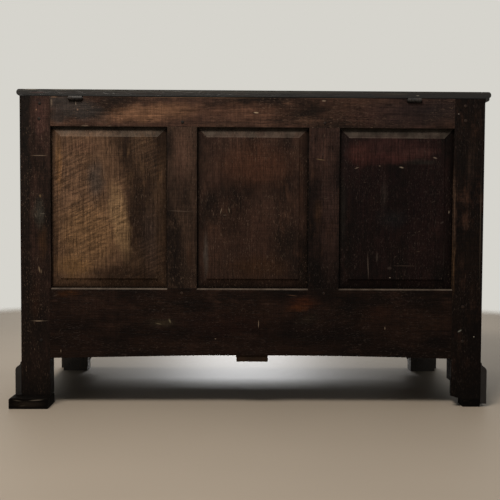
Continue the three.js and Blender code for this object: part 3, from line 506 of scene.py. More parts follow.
def framed_dirt_and_shade(board, colour):
    """The colour of a panel, with dirt and painted shade along its frame, and a painted shadow under the rail
    above.
    """
    tree = board.tree
    ends, edges, _ = side_gaps(board)
    edge = add(tree, "Math", {0: ends, 1: edges}, operation="MINIMUM")
    # Dirt and painted shade together, reaching in an uneven width from the frame
    reach = patches(tree, board.grain, FRAME_DIRT_AND_SHADE, LEAST_REACH, MOST_REACH)
    inside = add(tree, "Math", {0: edge, 1: PANEL_TONGUE}, operation="SUBTRACT")
    share = add(tree, "Math", {0: inside, 1: reach}, operation="DIVIDE")
    dirt_and_shade = add(tree, "MapRange", {0: share, 1: 0.0, 2: 1.0, 3: DIRT_AND_SHADE_STRENGTH, 4: 0.0}, **SMOOTH)
    colour = add(tree, "Mix", {FACTOR: dirt_and_shade, UNDER: colour, OVER: linear(board.wood.dark)}, data_type="RGBA")
    # Painted shade: nearly black within a few millimetres of the frame
    corner = add(tree, "MapRange", {
        0: inside, 1: 0.0, 2: CORNER_SHADE_WIDTH, 3: CORNER_SHADE_STRENGTH, 4: 0.0}, **SMOOTH)
    # Painted shadow of the rail above, in a band just below it
    along = add(tree, "SeparateXYZ", {0: board.local}).outputs[0]
    under = add(tree, "Math", {0: board.half[0] - PANEL_TONGUE, 1: along}, operation="SUBTRACT")
    shade = add(tree, "MapRange", {
        0: under, 1: RAIL_SHADOW_START, 2: RAIL_SHADOW_END, 3: RAIL_SHADOW_STRENGTH, 4: 0.0}, **SMOOTH)
    deepest = add(tree, "Math", {0: corner, 1: shade}, operation="MAXIMUM")
    return add(tree, "Mix", {FACTOR: deepest, UNDER: colour, OVER: linear(SOOT_AND_SHADE)}, data_type="RGBA")


print("dirt reaches", MOST_REACH, "mm in from a panel's frame")

# %% Dust with a painted highlight, and grime with painted shade
DUST_AND_HIGHLIGHT_COLOUR, SILL_DUST_AND_HIGHLIGHT_COLOUR = "#74695e", "#85776a"
DUST_AND_HIGHLIGHT_PATCHES, THINNEST_DUST_AND_HIGHLIGHT = Pattern(45, 45, 5.0, 0.7, 0.36, 0.62), 0.35
# A slope is 0 where it stands upright and 1 where it lies level
DUST_AND_HIGHLIGHT_START, DUST_AND_HIGHLIGHT_END = 0.08, 0.3
SILL_START, SILL_END = 0.6, 0.7
LEVEL_START, LEVEL_END = 0.85, 0.97
# Heights in metres, and the most darkening there: partly grime and partly painted shade, then nearly black at
# the foot
GRIME_AND_SHADE_START, GRIME_AND_SHADE_TOP, MOST_GRIME_AND_SHADE = 0.05, 0.62, 0.72
FOOT_START, FOOT_TOP, MOST_DARKENING_AT_FOOT = 0.03, 0.14, 0.8


def dusted_lit_and_shaded(board, colour):
    """The colour with dust and a painted highlight on slopes that look up, and darker towards the floor,
    partly with dirt and partly with painted shade.
    """
    tree, wood = board.tree, board.wood
    slope = add(tree, "SeparateXYZ", {0: add(tree, "TexCoord").outputs["Normal"]}).outputs["Z"]
    # Dust and painted highlight: slopes that look up, such as the top bevels, turn paler and greyer
    patchy = patches(tree, board.local, DUST_AND_HIGHLIGHT_PATCHES, THINNEST_DUST_AND_HIGHLIGHT, 1.0)
    level = add(tree, "MapRange", {0: slope, 1: LEVEL_START, 2: LEVEL_END, 3: 1.0, 4: 0.0})
    tilted = add(tree, "MapRange", {0: slope, 1: DUST_AND_HIGHLIGHT_START, 2: DUST_AND_HIGHLIGHT_END, 3: 0.0, 4: wood.dust}, **SMOOTH)
    sill = add(tree, "MapRange", {0: slope, 1: SILL_START, 2: SILL_END, 3: 0.0, 4: wood.dust})
    for dusted_and_lit, dust in ((tilted, DUST_AND_HIGHLIGHT_COLOUR), (sill, SILL_DUST_AND_HIGHLIGHT_COLOUR)):
        for limit in (level, patchy):
            dusted_and_lit = add(tree, "Math", {0: dusted_and_lit, 1: limit}, operation="MULTIPLY")
        colour = add(tree, "Mix", {FACTOR: dusted_and_lit, UNDER: colour, OVER: linear(dust)}, data_type="RGBA")
    # Darker towards the floor: partly grime, partly painted shade where less light reaches the lower boards;
    # nearly black in the lowest centimetres
    up = add(tree, "SeparateXYZ", {0: board.place}).outputs["Z"]
    rise = add(tree, "MapRange", {0: up, 1: GRIME_AND_SHADE_START, 2: GRIME_AND_SHADE_TOP, 3: MOST_GRIME_AND_SHADE, 4: 0.0}, **SMOOTH)
    colour = add(tree, "Mix", {FACTOR: rise, UNDER: colour, OVER: linear(wood.dark)}, data_type="RGBA")
    foot = add(tree, "MapRange", {0: up, 1: FOOT_START, 2: FOOT_TOP, 3: MOST_DARKENING_AT_FOOT, 4: 0.0}, **SMOOTH)
    return add(tree, "Mix", {FACTOR: foot, UNDER: colour, OVER: linear(SOOT_AND_SHADE)}, data_type="RGBA")


print("grime rises to", GRIME_AND_SHADE_TOP, "m")

# %% [markdown]
# Oak: scratches, flakes and specks
#
# Scratches come from moving house. They are thin, short and pale, most lie along or across the
# board, and only in some places. Between them the old wax has crazed and flaked off in chips. Specks
# of lime and paint are as small as a pixel of the photograph. None is worth a place of its own, so
# noise scatters them, and only the largest are placed one by one further down.

# %% Scratches
SCRATCH_COLOUR = "#94836f"
SCRATCH_TURNS = (0.1, 1.5, 1.15)
SCRATCHES = Pattern(26, 2.4, 1.0, 0.5, 0.75, 0.84)
FLAKES, FLAKE_SHARE, FEWEST_FLAKES = Pattern(10, 2.6, 3.0, 0.75, 0.56, 0.7), 1.6, 0.25
ROUGH_PLACES = Pattern(120, 90, 2.0)
SCRATCHED_START, SCRATCHED_END = 0.5, 0.66
FLAKED_START, FLAKED_END = 0.4, 0.56
# A speck's size is a share of the spacing, and RARE picks the cells that have one
SPECK_SPACING, SPECK_START, SPECK_END, SPECK_STRENGTH = 52.0, 0.012, 0.028, 0.8
RARE_START, RARE_END = 0.7, 0.76


def scratched(board, colour):
    """The colour with fine scratches, flakes and specks, and where the scratches and specks are."""
    tree, wood = board.tree, board.wood
    some = streaks(tree, board.grain, ROUGH_PLACES)
    where = add(tree, "MapRange", {
        0: some, 1: SCRATCHED_START, 2: SCRATCHED_END, 3: 0.0, 4: wood.scratch}, **SMOOTH)
    pale = None
    for turn_by in SCRATCH_TURNS:
        slanted = add(tree, "Mapping", {"Vector": board.grain, "Rotation": (0, 0, turn_by)})
        thin = patches(tree, slanted, SCRATCHES, **SMOOTH)
        pale = thin if pale is None else add(tree, "Math", {0: pale, 1: thin}, operation="MAXIMUM")
    pale = add(tree, "Math", {0: pale, 1: where}, operation="MULTIPLY")
    flakes = patches(tree, board.grain, FLAKES, 0.0, FLAKE_SHARE * wood.scratch, **SMOOTH)
    worst = add(tree, "MapRange", {
        0: some, 1: FLAKED_START, 2: FLAKED_END, 3: FEWEST_FLAKES, 4: 1.0}, **SMOOTH)
    flakes = add(tree, "Math", {0: flakes, 1: worst}, operation="MULTIPLY")
    colour = add(tree, "Mix", {FACTOR: flakes, UNDER: colour, OVER: linear(wood.worn)}, data_type="RGBA")
    cells = add(tree, "TexVoronoi", {"Vector": board.local, "Scale": 1 / SPECK_SPACING}, feature="F1")
    near = add(tree, "MapRange", {
        0: cells.outputs["Distance"], 1: SPECK_START, 2: SPECK_END, 3: SPECK_STRENGTH, 4: 0.0}, **SMOOTH)
    draw = add(tree, "SeparateColor", {0: cells.outputs["Color"]}).outputs["Red"]
    rare = add(tree, "MapRange", {0: draw, 1: RARE_START, 2: RARE_END, 3: 0.0, 4: wood.scratch})
    speck = add(tree, "Math", {0: near, 1: rare}, operation="MULTIPLY")
    pale = add(tree, "Math", {0: pale, 1: speck}, operation="MAXIMUM")
    colour = add(tree, "Mix", {FACTOR: pale, UNDER: colour, OVER: linear(SCRATCH_COLOUR)}, data_type="RGBA")
    return colour, pale


print("scratch directions:", len(SCRATCH_TURNS))

# %% [markdown]
# The oak finish itself
#
# The steps go on in the order in which the years brought them, and the painted shade and highlight go
# on with the dirt and dust. The same patterns set how smooth the wood is and how it catches the light.
# The face that looks into the chest was never waxed, so bare wood shows there, found by the way that
# the face looks.

# %% Bare wood inside
BARE_WOOD = "#5d472f"
INWARD_START, INWARD_END = 0.5, 0.9


def bare_inside(board, colour, depth):
    """The colour with the face that looks into the chest left as bare wood."""
    tree = board.tree
    low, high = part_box(board.name)
    inward = -1 if (low + high)["XYZ".index(depth)] > 0 else 1
    facing = add(tree, "SeparateXYZ", {0: add(tree, "TexCoord").outputs["Normal"]}).outputs[depth]
    inner = add(tree, "MapRange", {
        0: facing, 1: INWARD_START * inward, 2: INWARD_END * inward, 3: 0.0, 4: board.wood.bare})
    return add(tree, "Mix", {FACTOR: inner, UNDER: colour, OVER: linear(BARE_WOOD)}, data_type="RGBA")


print("bare wood", BARE_WOOD)

# %% Oak
FIBRE_RELIEF = 0.0007
FIBRE_GLOSS, WAX_POLISH = 0.08, 0.1
DENTS, DENT_SHARE = Pattern(55, 30), 3.0


def oak(name, wood, along, depth, cut="straight", stains=(), scars_and_shadows=()):
    """The finish of one oak board. wood gives its colours and its state, and cut how it was sawn."""
    material = blank_material("oak_" + name)
    tree = material.node_tree
    place, local, half = board_space(tree, name, along, depth)
    grain = grain_space(tree, name, local)
    board = Board(name, tree, place, local, half, grain, wood, cut, name.endswith("panel"))
    colour = marked(board, waxed(board), stains)
    colour = bare_inside(board, colour, depth) if wood.bare else colour
    colour, fibre, pore = grained(board, colour)
    colour = rayed(board, colour) if cut == "ray" else colour
    colour = framed_dirt_and_shade(board, colour) if board.panel else rubbed(board, colour)
    colour, pale = scratched(board, dusted_lit_and_shaded(board, colour))
    colour = marked(board, colour, scars_and_shadows)

    rough = add(tree, "MapRange", {
        0: fibre, 1: 0.3, 2: 0.7, 3: wood.rough + FIBRE_GLOSS, 4: wood.rough - FIBRE_GLOSS})
    length, width = wood.blotch
    waxy = Pattern(length, width / 2, 5.0, 0.8, 0.44, 0.72)
    polish = patches(tree, grain, waxy, WAX_POLISH, -WAX_POLISH)
    rough = add(tree, "Math", {0: rough, 1: polish}, operation="ADD")
    dents = add(tree, "Math", {0: streaks(tree, grain, DENTS), 1: DENT_SHARE}, operation="MULTIPLY")
    relief = add(tree, "Math", {0: fibre, 1: pore}, operation="SUBTRACT")
    relief = add(tree, "Math", {0: relief, 1: pale}, operation="SUBTRACT")
    relief = add(tree, "Math", {0: relief, 1: dents}, operation="ADD")
    bump = add(tree, "Bump", {"Height": relief, "Strength": 0.6, "Distance": FIBRE_RELIEF})
    shader = add(tree, "BsdfPrincipled", {
        "Base Color": colour, "Roughness": rough, "Specular IOR Level": wood.gloss, "Normal": bump})
    add(tree, "OutputMaterial", {"Surface": shader})
    return material


print("fibres stand", FIBRE_RELIEF * METRES_TO_MM, "mm high")

# %% [markdown]
# Which oak each board is
#
# The back is the side that was never waxed or shown: rails and stiles are nearly black, the panel at
# the photograph's left has kept its golden wood, and the one at its right is stained almost black. The
# front and the sides are the show side, waxed every year, so they are warmer and smoother.
# Inside, the oak was never waxed and is pale and dry. One finish with a few numbers for each state
# of the wood keeps them one kind of oak, which separate finishes for each board would not.

# %% States of the wood
# Four browns, then the dust and painted highlight on slopes that look up, roughness, gloss, the width
# of a rubbed arris in millimetres, scratches, contrast of the grain, the length and width of its
# blotches in millimetres, and the bare wood inside.
Wood = namedtuple("Wood", "dark mid light worn dust rough gloss wear scratch contrast blotch bare",
                  defaults=((26, 17), 0.8))
LONG_GRAIN = (150, 15)
BACK_FRAME = Wood("#110a07", "#30211a", "#523b2c", "#625043", 0.4, 0.6, 0.07, 1.8, 0.4, 0.46)
BACK_DARK = Wood("#080403", "#190f0b", "#34231b", "#433833", 0.4, 0.56, 0.06, 1.8, 0.4, 0.66)
BLACKENED = Wood("#030202", "#090706", "#15110e", "#2c2520", 0.1, 0.6, 0.04, 1.8, 0.4, 0.5, bare=0)
SHOW_FRAME = Wood("#1a0f09", "#3d2516", "#5c3c26", "#7d5a3c", 0.2, 0.42, 0.34, 3.4, 0.2, 0.24, LONG_GRAIN)
SHOW_PANEL = Wood("#20120a", "#482b19", "#6c482b", "#86623f", 0.2, 0.4, 0.34, 3.0, 0.18, 0.24, LONG_GRAIN)
LID_TOP = Wood("#1d120c", "#432a1b", "#6a4930", "#7a6650", 0.35, 0.4, 0.32, 4.0, 0.4, 0.24, LONG_GRAIN, 0.45)
DRY_LINING = Wood("#4e3a26", "#80643f", "#9f8259", "#a89066", 0.1, 0.78, 0.2, 2.0, 0.2, 0.2, LONG_GRAIN, 0)
SOOTY_RUNNER = Wood("#1a110b", "#3a2a1d", "#4f3b29", "#5d4935", 0.1, 0.75, 0.1, 1.5, 0.2, 0.25, LONG_GRAIN, 0)
print("the darkest brown is", BLACKENED.dark, "and the palest", DRY_LINING.worn)

# %% [markdown]
# Stains under the grain, and scars and a painted shadow over it
#
# The boards of the back have their own histories: soot, water, a rubbed golden place, a band of old
# red paint, dents and splashes of limewash. A picture of each board could be painted by hand, but a
# short list is easier to read and to change. Each line is one mark, placed against the
# photograph. Stains lie in the wood, so the grain is drawn over them, and scars cut through it.
# The black line along the top of the back, where the lid throws its shadow, is painted shadow laid on with
# the scars.

# %% Stains on the rails of the back
STAINS = {
    "back_top_rail": [
        on_back(0.290, 0.835, 0.190, 0.036, "#6b4d39", 0.8, 0.8, 5),
        on_back(0.020, 0.840, 0.170, 0.034, "#563c2f", 0.7, 0.9),
        on_back(0.500, 0.850, 0.120, 0.040, "#2c2826", 0.85, 0.6, -16),
        on_back(0.545, 0.825, 0.040, 0.030, "#2c2725", 0.7, 0.8),
        on_back(-0.330, 0.830, 0.110, 0.036, "#38251f", 0.6, 0.9),
        on_back(-0.440, 0.840, 0.170, 0.080, "#241a19", 0.75, 0.8),
        on_back(-0.540, 0.850, 0.110, 0.060, "#1c1616", 0.75, 0.8),
        on_back(0.555, 0.8780, 0.014, 0.003, "#5a4432", 0.6, 0.8),
        on_back(0.563, 0.862, 0.005, 0.012, "#66584a", 0.6, 0.8),
    ],
    "back_bottom_rail": [
        on_back(-0.150, 0.300, 0.060, 0.026, "#4a2615", 0.6, 1.0),
        on_back(-0.135, 0.284, 0.046, 0.016, "#5f351c", 0.6, 1.0, 8),
        on_back(-0.165, 0.250, 0.050, 0.022, "#30281f", 0.5, 1.0, 10),
        on_back(0.255, 0.240, 0.060, 0.022, "#3b342a", 0.55, 1.0),
        on_back(0.500, 0.290, 0.090, 0.040, "#2b1d16", 0.6, 1.0),
        on_back(0.520, 0.324, 0.045, 0.014, "#4c2d15", 0.6, 0.9),
        on_back(0.250, 0.241, 0.050, 0.012, "#3e3526", 0.5, 0.9, -6),
        on_back(0.050, 0.235, 0.160, 0.060, "#27130d", 0.5, 0.9),
        on_back(-0.370, 0.270, 0.070, 0.030, "#2e1a11", 0.6, 1.0),
    ],
}
print("stains on the rails:", sum(map(len, STAINS.values())))

# %% Stains on the stiles and muntins of the back
STAINS.update({
    "right_rear_stile": [
        on_back(0.640, 0.600, 0.022, 0.900, "#0d0907", 0.8, 0.5),
        on_back(0.592, 0.815, 0.026, 0.090, "#3f2a25", 0.7, 0.9),
        on_back(0.600, 0.868, 0.030, 0.010, "#1c1413", 0.6, 0.9),
        on_back(0.600, 0.550, 0.025, 0.060, "#43413a", 0.5, 0.9),
        on_back(0.590, 0.470, 0.020, 0.070, "#3c2818", 0.6, 0.9),
        on_back(0.610, 0.300, 0.020, 0.080, "#2f1c12", 0.6, 0.9),
    ],
    "left_rear_stile": [
        on_back(-0.578, 0.560, 0.008, 0.150, "#46352a", 0.8, 0.7),
        on_back(-0.577, 0.400, 0.009, 0.120, "#4a3726", 0.8, 0.7),
        on_back(-0.625, 0.700, 0.020, 0.100, "#241a15", 0.6, 0.9),
    ],
    "back_right_muntin": [
        on_back(0.195, 0.720, 0.044, 0.120, "#4a352b", 0.65, 0.9),
        on_back(0.175, 0.430, 0.012, 0.060, "#3d2a1f", 0.6, 0.9),
    ],
    "back_left_muntin": [
        on_back(-0.205, 0.720, 0.044, 0.110, "#3a2822", 0.65, 0.9),
        on_back(-0.190, 0.560, 0.020, 0.050, "#342318", 0.6, 0.9),
    ],
})
print("stains so far:", sum(map(len, STAINS.values())))

# %% Stains on the panels of the back
STAINS.update({
    "back_right_panel": [
        on_back(0.600, 0.520, 0.272, 0.430, "#584232", 0.8, 0.16),
        on_back(0.460, 0.490, 0.120, 0.130, "#6a5037", 0.75, 0.7, 4),
        on_back(0.372, 0.530, 0.034, 0.140, "#7a6145", 0.65, 0.6, 9),
        on_back(0.505, 0.400, 0.080, 0.050, "#7a5b39", 0.6, 0.9, -8),
        on_back(0.440, 0.645, 0.032, 0.080, "#39322e", 0.75, 0.8),
        on_back(0.545, 0.690, 0.016, 0.110, "#6f4f30", 0.5, 0.9),
        on_back(0.480, 0.740, 0.080, 0.030, "#4a3428", 0.5, 0.9),
        on_back(0.350, 0.365, 0.125, 0.052, "#24180f", 0.85, 0.6, -8),
        on_back(0.285, 0.480, 0.040, 0.160, "#2b2220", 0.5, 0.9),
    ],
    "back_centre_panel": [
        on_back(-0.010, 0.690, 0.150, 0.090, "#462c20", 0.7, 0.9),
        on_back(0.000, 0.500, 0.140, 0.160, "#2e1e17", 0.6, 0.9),
        on_back(-0.020, 0.400, 0.120, 0.050, "#36210f", 0.5, 0.9),
        on_back(0.128, 0.430, 0.010, 0.090, "#4a4540", 0.5, 0.8),
    ],
    "back_left_panel": [
        on_back(-0.400, 0.600, 0.170, 0.150, "#0a0404", 0.6, 0.6),
        on_back(-0.400, 0.738, 0.160, 0.052, "#2c1a18", 0.85, 0.6),
        on_back(-0.310, 0.722, 0.050, 0.046, "#361e1a", 0.75, 0.7),
        on_back(-0.400, 0.712, 0.130, 0.024, "#301a18", 0.7, 0.8, 2),
        on_back(-0.470, 0.728, 0.080, 0.016, "#35211e", 0.7, 0.8, 5),
        on_back(-0.480, 0.702, 0.070, 0.012, "#1e1c19", 0.6, 0.8),
        on_back(-0.260, 0.560, 0.012, 0.150, "#24201c", 0.6, 0.8),
        on_back(-0.378, 0.610, 0.014, 0.060, "#2a2320", 0.5, 0.9),
        on_back(-0.400, 0.540, 0.060, 0.040, "#171718", 0.5, 1.0),
    ],
})
print("stains:", sum(map(len, STAINS.values())))

# %% Waxed sides of the two rear stiles
SIDE_SKIN, SIDE_TALL = 0.007, 1.6
SIDE_WAX = "#402a1b"
for name, sign in (("right_rear_stile", 1), ("left_rear_stile", -1)):
    low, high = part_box(name)
    middle = (max(sign * low.x, sign * high.x) * sign, (low.y + high.y) / 2 - SIDE_SKIN, (low.z + high.z) / 2)
    half = (SIDE_SKIN, (high.y - low.y) / 2 + SIDE_SKIN / 2, SIDE_TALL)
    STAINS[name].append(Mark(middle, half, SIDE_WAX, 0.92, 0.25))
print("waxed sides in", SIDE_WAX)

# %% Scars on the rails of the back, and the painted shadow under the lid
PALE, LIME = "#8a7866", "#a8937a"
SCARS_AND_SHADOWS = {
    "back_top_rail": [
        on_back(-0.013, 0.838, 0.009, 0.0022, LIME, 0.85, 0.6, -4),
        on_back(0.490, 0.843, 0.0035, 0.0035, "#7c6352", 0.7),
        on_back(0.495, 0.861, 0.0018, 0.008, "#8d8070", 0.5),
        on_back(0.548, 0.846, 0.0012, 0.020, "#4c4440", 0.7),
        on_back(-0.205, 0.872, 0.008, 0.003, PALE, 0.6),
        on_back(0.470, 0.798, 0.014, 0.0014, PALE, 0.4),
        on_back(0.400, 0.798, 0.006, 0.0014, PALE, 0.4),
        on_back(0.150, 0.8785, 0.250, 0.0010, "#6a5240", 0.7),
        on_back(-0.250, 0.8785, 0.120, 0.0010, "#5a4436", 0.6),
        # Painted shadow: a black line along the top, under the lid
        on_back(0.0, 0.8812, 1.0, 0.0022, "#030202", 0.92, 0.4),
    ],
    "back_bottom_rail": [
        on_back(-0.023, 0.238, 0.0014, 0.014, PALE, 0.7),
        on_back(-0.385, 0.227, 0.0014, 0.006, PALE, 0.8),
        on_back(0.100, 0.195, 0.003, 0.002, PALE, 0.6),
        on_back(0.230, 0.246, 0.004, 0.009, "#7a7058", 0.5, 0.8, 20),
        on_back(0.262, 0.238, 0.012, 0.0016, "#7a7058", 0.5, 0.8, -12),
        on_back(0.540, 0.159, 0.0014, 0.006, PALE, 0.7),
        on_back(-0.120, 0.320, 0.020, 0.0014, "#5d4534", 0.6, 0.8, -6),
    ],
}
print("scars on the rails:", sum(map(len, SCARS_AND_SHADOWS.values())))

# %% Scars on the stiles, muntins and foot block of the back, and the painted shadow under the lid
SCARS_AND_SHADOWS.update({
    "right_rear_stile": [
        on_back(0.598, 0.714, 0.030, 0.0016, "#6f5f50", 0.75),
        on_back(0.603, 0.245, 0.016, 0.0020, "#8a7968", 0.85),
        on_back(0.600, 0.2455, 0.034, 0.0012, "#6f6152", 0.6),
        on_back(0.569, 0.250, 0.0018, 0.110, "#5c4733", 0.55, 0.9),
        on_back(0.600, 0.392, 0.003, 0.013, "#7d6a55", 0.7, 0.7, 12),
        on_back(0.594, 0.386, 0.0014, 0.008, "#7d6a55", 0.6),
        on_back(0.605, 0.842, 0.003, 0.003, "#80604a", 0.8),
        on_back(0.596, 0.600, 0.004, 0.006, "#6f5a40", 0.6),
        on_back(0.590, 0.550, 0.010, 0.0014, "#70685c", 0.5),
        on_back(0.610, 0.545, 0.0014, 0.009, "#70685c", 0.5, 0.7, 20),
        # Painted shadow: a black line along the top, under the lid
        on_back(0.0, 0.8812, 1.0, 0.0022, "#030202", 0.92, 0.4),
    ],
    "left_rear_stile": [
        on_back(-0.592, 0.848, 0.004, 0.004, "#040202", 0.9, 0.4),
        on_back(-0.587, 0.838, 0.003, 0.002, "#8a8078", 0.7),
        on_back(-0.600, 0.220, 0.008, 0.003, "#8a8a80", 0.6, 0.7, 30),
        on_back(-0.641, 0.203, 0.0022, 0.0022, "#a8a498", 0.8),
        on_back(-0.6545, 0.520, 0.0020, 0.230, "#5e5448", 0.35, 0.9),
        # Painted shadow: a black line along the top, under the lid
        on_back(0.0, 0.8812, 1.0, 0.0022, "#030202", 0.92, 0.4),
    ],
    "right_rear_foot_block": [
        on_back(0.625, 0.014, 0.060, 0.012, "#2b241e", 0.6, 0.9),
        on_back(0.602, 0.0255, 0.026, 0.0024, "#6a6156", 0.6, 0.8, 4),
        on_back(0.655, 0.0240, 0.016, 0.0020, "#5a5146", 0.5, 0.8, -5),
        on_back(0.640, 0.0100, 0.012, 0.0016, "#4a4238", 0.5, 0.8, 8),
    ],
    "back_right_muntin": [on_back(0.201, 0.559, 0.042, 0.0014, "#5a4c42", 0.7, 0.7, -2)],
    "back_left_muntin": [on_back(-0.196, 0.707, 0.018, 0.002, "#6d5a40", 0.6, 0.7, -8)],
})
print("scars so far:", sum(map(len, SCARS_AND_SHADOWS.values())))

# %% Scars on the panels of the back
SCARS_AND_SHADOWS.update({
    "back_centre_panel": [
        on_back(0.085, 0.560, 0.0015, 0.012, "#7d6d5c", 0.7, 0.7, -14),
        on_back(0.062, 0.562, 0.0015, 0.010, "#7d6d5c", 0.65, 0.7, 10),
        on_back(0.075, 0.548, 0.006, 0.0014, "#6d6054", 0.5),
    ],
    "back_left_panel": [
        on_back(-0.300, 0.684, 0.009, 0.0022, "#6d5f52", 0.7, 0.8, 20),
        on_back(-0.296, 0.678, 0.006, 0.0016, "#0a0605", 0.8, 0.8),
        on_back(-0.365, 0.690, 0.004, 0.003, "#5b4d42", 0.7),
        on_back(-0.427, 0.686, 0.009, 0.0028, "#8a7c6c", 0.7, 0.8, -12),
        on_back(-0.427, 0.692, 0.013, 0.0018, "#0a0605", 0.8, 0.8),
        on_back(-0.523, 0.714, 0.008, 0.0028, "#7d6f62", 0.7, 0.8, -16),
        on_back(-0.520, 0.7195, 0.014, 0.0016, "#0a0605", 0.8, 0.8, 8),
        on_back(-0.470, 0.7115, 0.060, 0.0012, "#120b09", 0.7, 0.8, 3),
        on_back(-0.335, 0.405, 0.0016, 0.050, "#5c5048", 0.7, 0.8, 2),
        on_back(-0.440, 0.406, 0.045, 0.0012, "#4a3e36", 0.6),
        on_back(-0.360, 0.430, 0.0040, 0.020, "#3c332e", 0.6),
        on_back(-0.397, 0.399, 0.008, 0.006, "#3a302b", 0.6),
        on_back(-0.398, 0.372, 0.003, 0.002, "#85796c", 0.8),
        on_back(-0.566, 0.560, 0.0016, 0.006, "#a09080", 0.8),
        on_back(-0.545, 0.530, 0.008, 0.003, "#3c342f", 0.6, 0.7, 30),
        on_back(-0.552, 0.440, 0.0018, 0.060, "#302824", 0.7),
    ],
})
print("scars:", sum(map(len, SCARS_AND_SHADOWS.values())))

# %% Finish the back
SMOOTH_PANEL = BACK_FRAME._replace(mid="#33231c", light="#3e2a20", contrast=0.36)
BACK_BOARDS = {
    "back_top_rail": (BACK_FRAME._replace(mid="#3a2820", light="#4a352a"), "X", "straight"),
    "back_bottom_rail": (BACK_DARK._replace(mid="#291a13", light="#3a2820", contrast=0.45), "X", "crown"),
    "back_right_muntin": (BACK_FRAME._replace(mid="#35271f", light="#46352a", contrast=0.4), "Z", "straight"),
    "back_left_muntin": (BACK_DARK._replace(mid="#2a1d19", contrast=0.5), "Z", "straight"),
    "right_rear_stile": (BACK_FRAME._replace(mid="#2a1c17", light="#412d25"), "Z", "straight"),
    "left_rear_stile": (BACK_DARK._replace(mid="#140c08"), "Z", "straight"),
    "back_right_panel": (BACK_FRAME._replace(dark="#21160f", mid="#3c2c20", light="#4f3b29"), "Z", "ray"),
    "back_centre_panel": (SMOOTH_PANEL, "Z", "straight"),
    "back_left_panel": (BACK_DARK._replace(mid="#160b0a", light="#241613", contrast=0.46), "Z", "crown"),
    "right_rear_foot_block": (BLACKENED, "X", "straight"),
    "left_rear_foot_block": (BLACKENED, "X", "straight"),
}


def finish(name, material):
    """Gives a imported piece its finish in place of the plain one."""
    data = nodes[name].data
    data.materials.clear()
    data.materials.append(material)


for name, (wood, along, cut) in BACK_BOARDS.items():
    finish(name, oak(name, wood, along, "Y", cut, STAINS.get(name, ()), SCARS_AND_SHADOWS.get(name, ())))
print("back boards:", len(BACK_BOARDS))

# %% [markdown]
# The show side, the lid and the plinth
#
# The front and the sides face the room, so their oak is waxed and even. The marks that such a side has
# are few: the worn hole of the lock, the sunk heads of the nails that hold the plinth, and its blackened
# back ends. They are painted marks like those of the back, because they are flatter than a millimetre.
# The hole of the lock is painted black, as painted shade of the dark lock behind it.

# %% Boards of the show side
SHOW_BOARDS = {
    "front_top_rail": ("X", "Y"), "front_middle_rail": ("X", "Y"), "front_bottom_rail": ("X", "Y"),
    "front_left_muntin": ("Z", "Y"), "front_right_muntin": ("Z", "Y"), "drawer_divider": ("Z", "Y"),
    "left_front_stile": ("Z", "Y"), "right_front_stile": ("Z", "Y"), "front_plinth": ("X", "Y"),
    "left_side_top_rail": ("Y", "X"), "left_side_bottom_rail": ("Y", "X"), "left_side_plinth": ("Y", "X"),
    "right_side_top_rail": ("Y", "X"), "right_side_bottom_rail": ("Y", "X"), "right_side_plinth": ("Y", "X"),
    "left_drawer_front": ("X", "Y"), "right_drawer_front": ("X", "Y"),
}
SHOW_PANELS = {"front_left_panel": "Y", "front_centre_panel": "Y", "front_right_panel": "Y",
               "left_side_panel": "X", "right_side_panel": "X"}
print("show side:", len(SHOW_BOARDS), "boards and", len(SHOW_PANELS), "panels")

# %% Keyhole, nails and plinth ends
LOCK_LOW, LOCK_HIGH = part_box("lock_case")
KEY_PLACE = ((LOCK_LOW.x + LOCK_HIGH.x) / 2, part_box("front_top_rail")[0].y, (LOCK_LOW.z + LOCK_HIGH.z) / 2)
# The keyhole is painted black: painted shade of the dark lock behind the plate's hole
KEYHOLE_HALF, KEYHOLE_SHADE = (0.010, THROUGH, 0.013), "#020101"
NAIL_HIGH, NAIL_EVERY, NAIL_MARK = 0.105, 0.24, 0.0034
FRONT_NAILS, SIDE_NAIL_STEPS = 6, (-0.9, 0, 0.9)
PLINTH_END_HIGH, PLINTH_END_HALF, PLINTH_END_BLACK = 0.08, (0.05, 0.012, 0.16), "#0d0908"


def nail_mark(x, y):
    """The sunk head of a nail in the plinth."""
    return Mark((x, y, NAIL_HIGH), (NAIL_MARK, NAIL_MARK, NAIL_MARK), SOOT_AND_SHADE, 0.95, 0.3)


plinth_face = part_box("front_plinth")[0].y
front_steps = [step - (FRONT_NAILS - 1) / 2 for step in range(FRONT_NAILS)]
SHOW_MARKS_AND_SHADE = {
    "front_top_rail": [Mark(KEY_PLACE, KEYHOLE_HALF, KEYHOLE_SHADE, 1.0, 0.1)],
    "front_plinth": [nail_mark(NAIL_EVERY * step, plinth_face) for step in front_steps],
}
for name, outer in (("left_side_plinth", 0), ("right_side_plinth", 1)):
    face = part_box(name)[outer].x
    back_end = (face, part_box(name)[1].y, PLINTH_END_HIGH)
    SHOW_MARKS_AND_SHADE[name] = [Mark(back_end, PLINTH_END_HALF, PLINTH_END_BLACK, 0.95, 0.5)]
    SHOW_MARKS_AND_SHADE[name] += [nail_mark(face, NAIL_EVERY * step) for step in SIDE_NAIL_STEPS]
print("marks on the show side:", sum(map(len, SHOW_MARKS_AND_SHADE.values())))

# %% Finish the show side
for name, (along, depth) in SHOW_BOARDS.items():
    cut = "crown" if "drawer" in name or "bottom" in name else "straight"
    finish(name, oak(name, SHOW_FRAME, along, depth, cut, scars_and_shadows=SHOW_MARKS_AND_SHADE.get(name, ())))
for name, depth in SHOW_PANELS.items():
    finish(name, oak(name, SHOW_PANEL, "Z", depth, "ray" if depth == "Y" else "crown"))
print("marks painted on:", list(SHOW_MARKS_AND_SHADE))

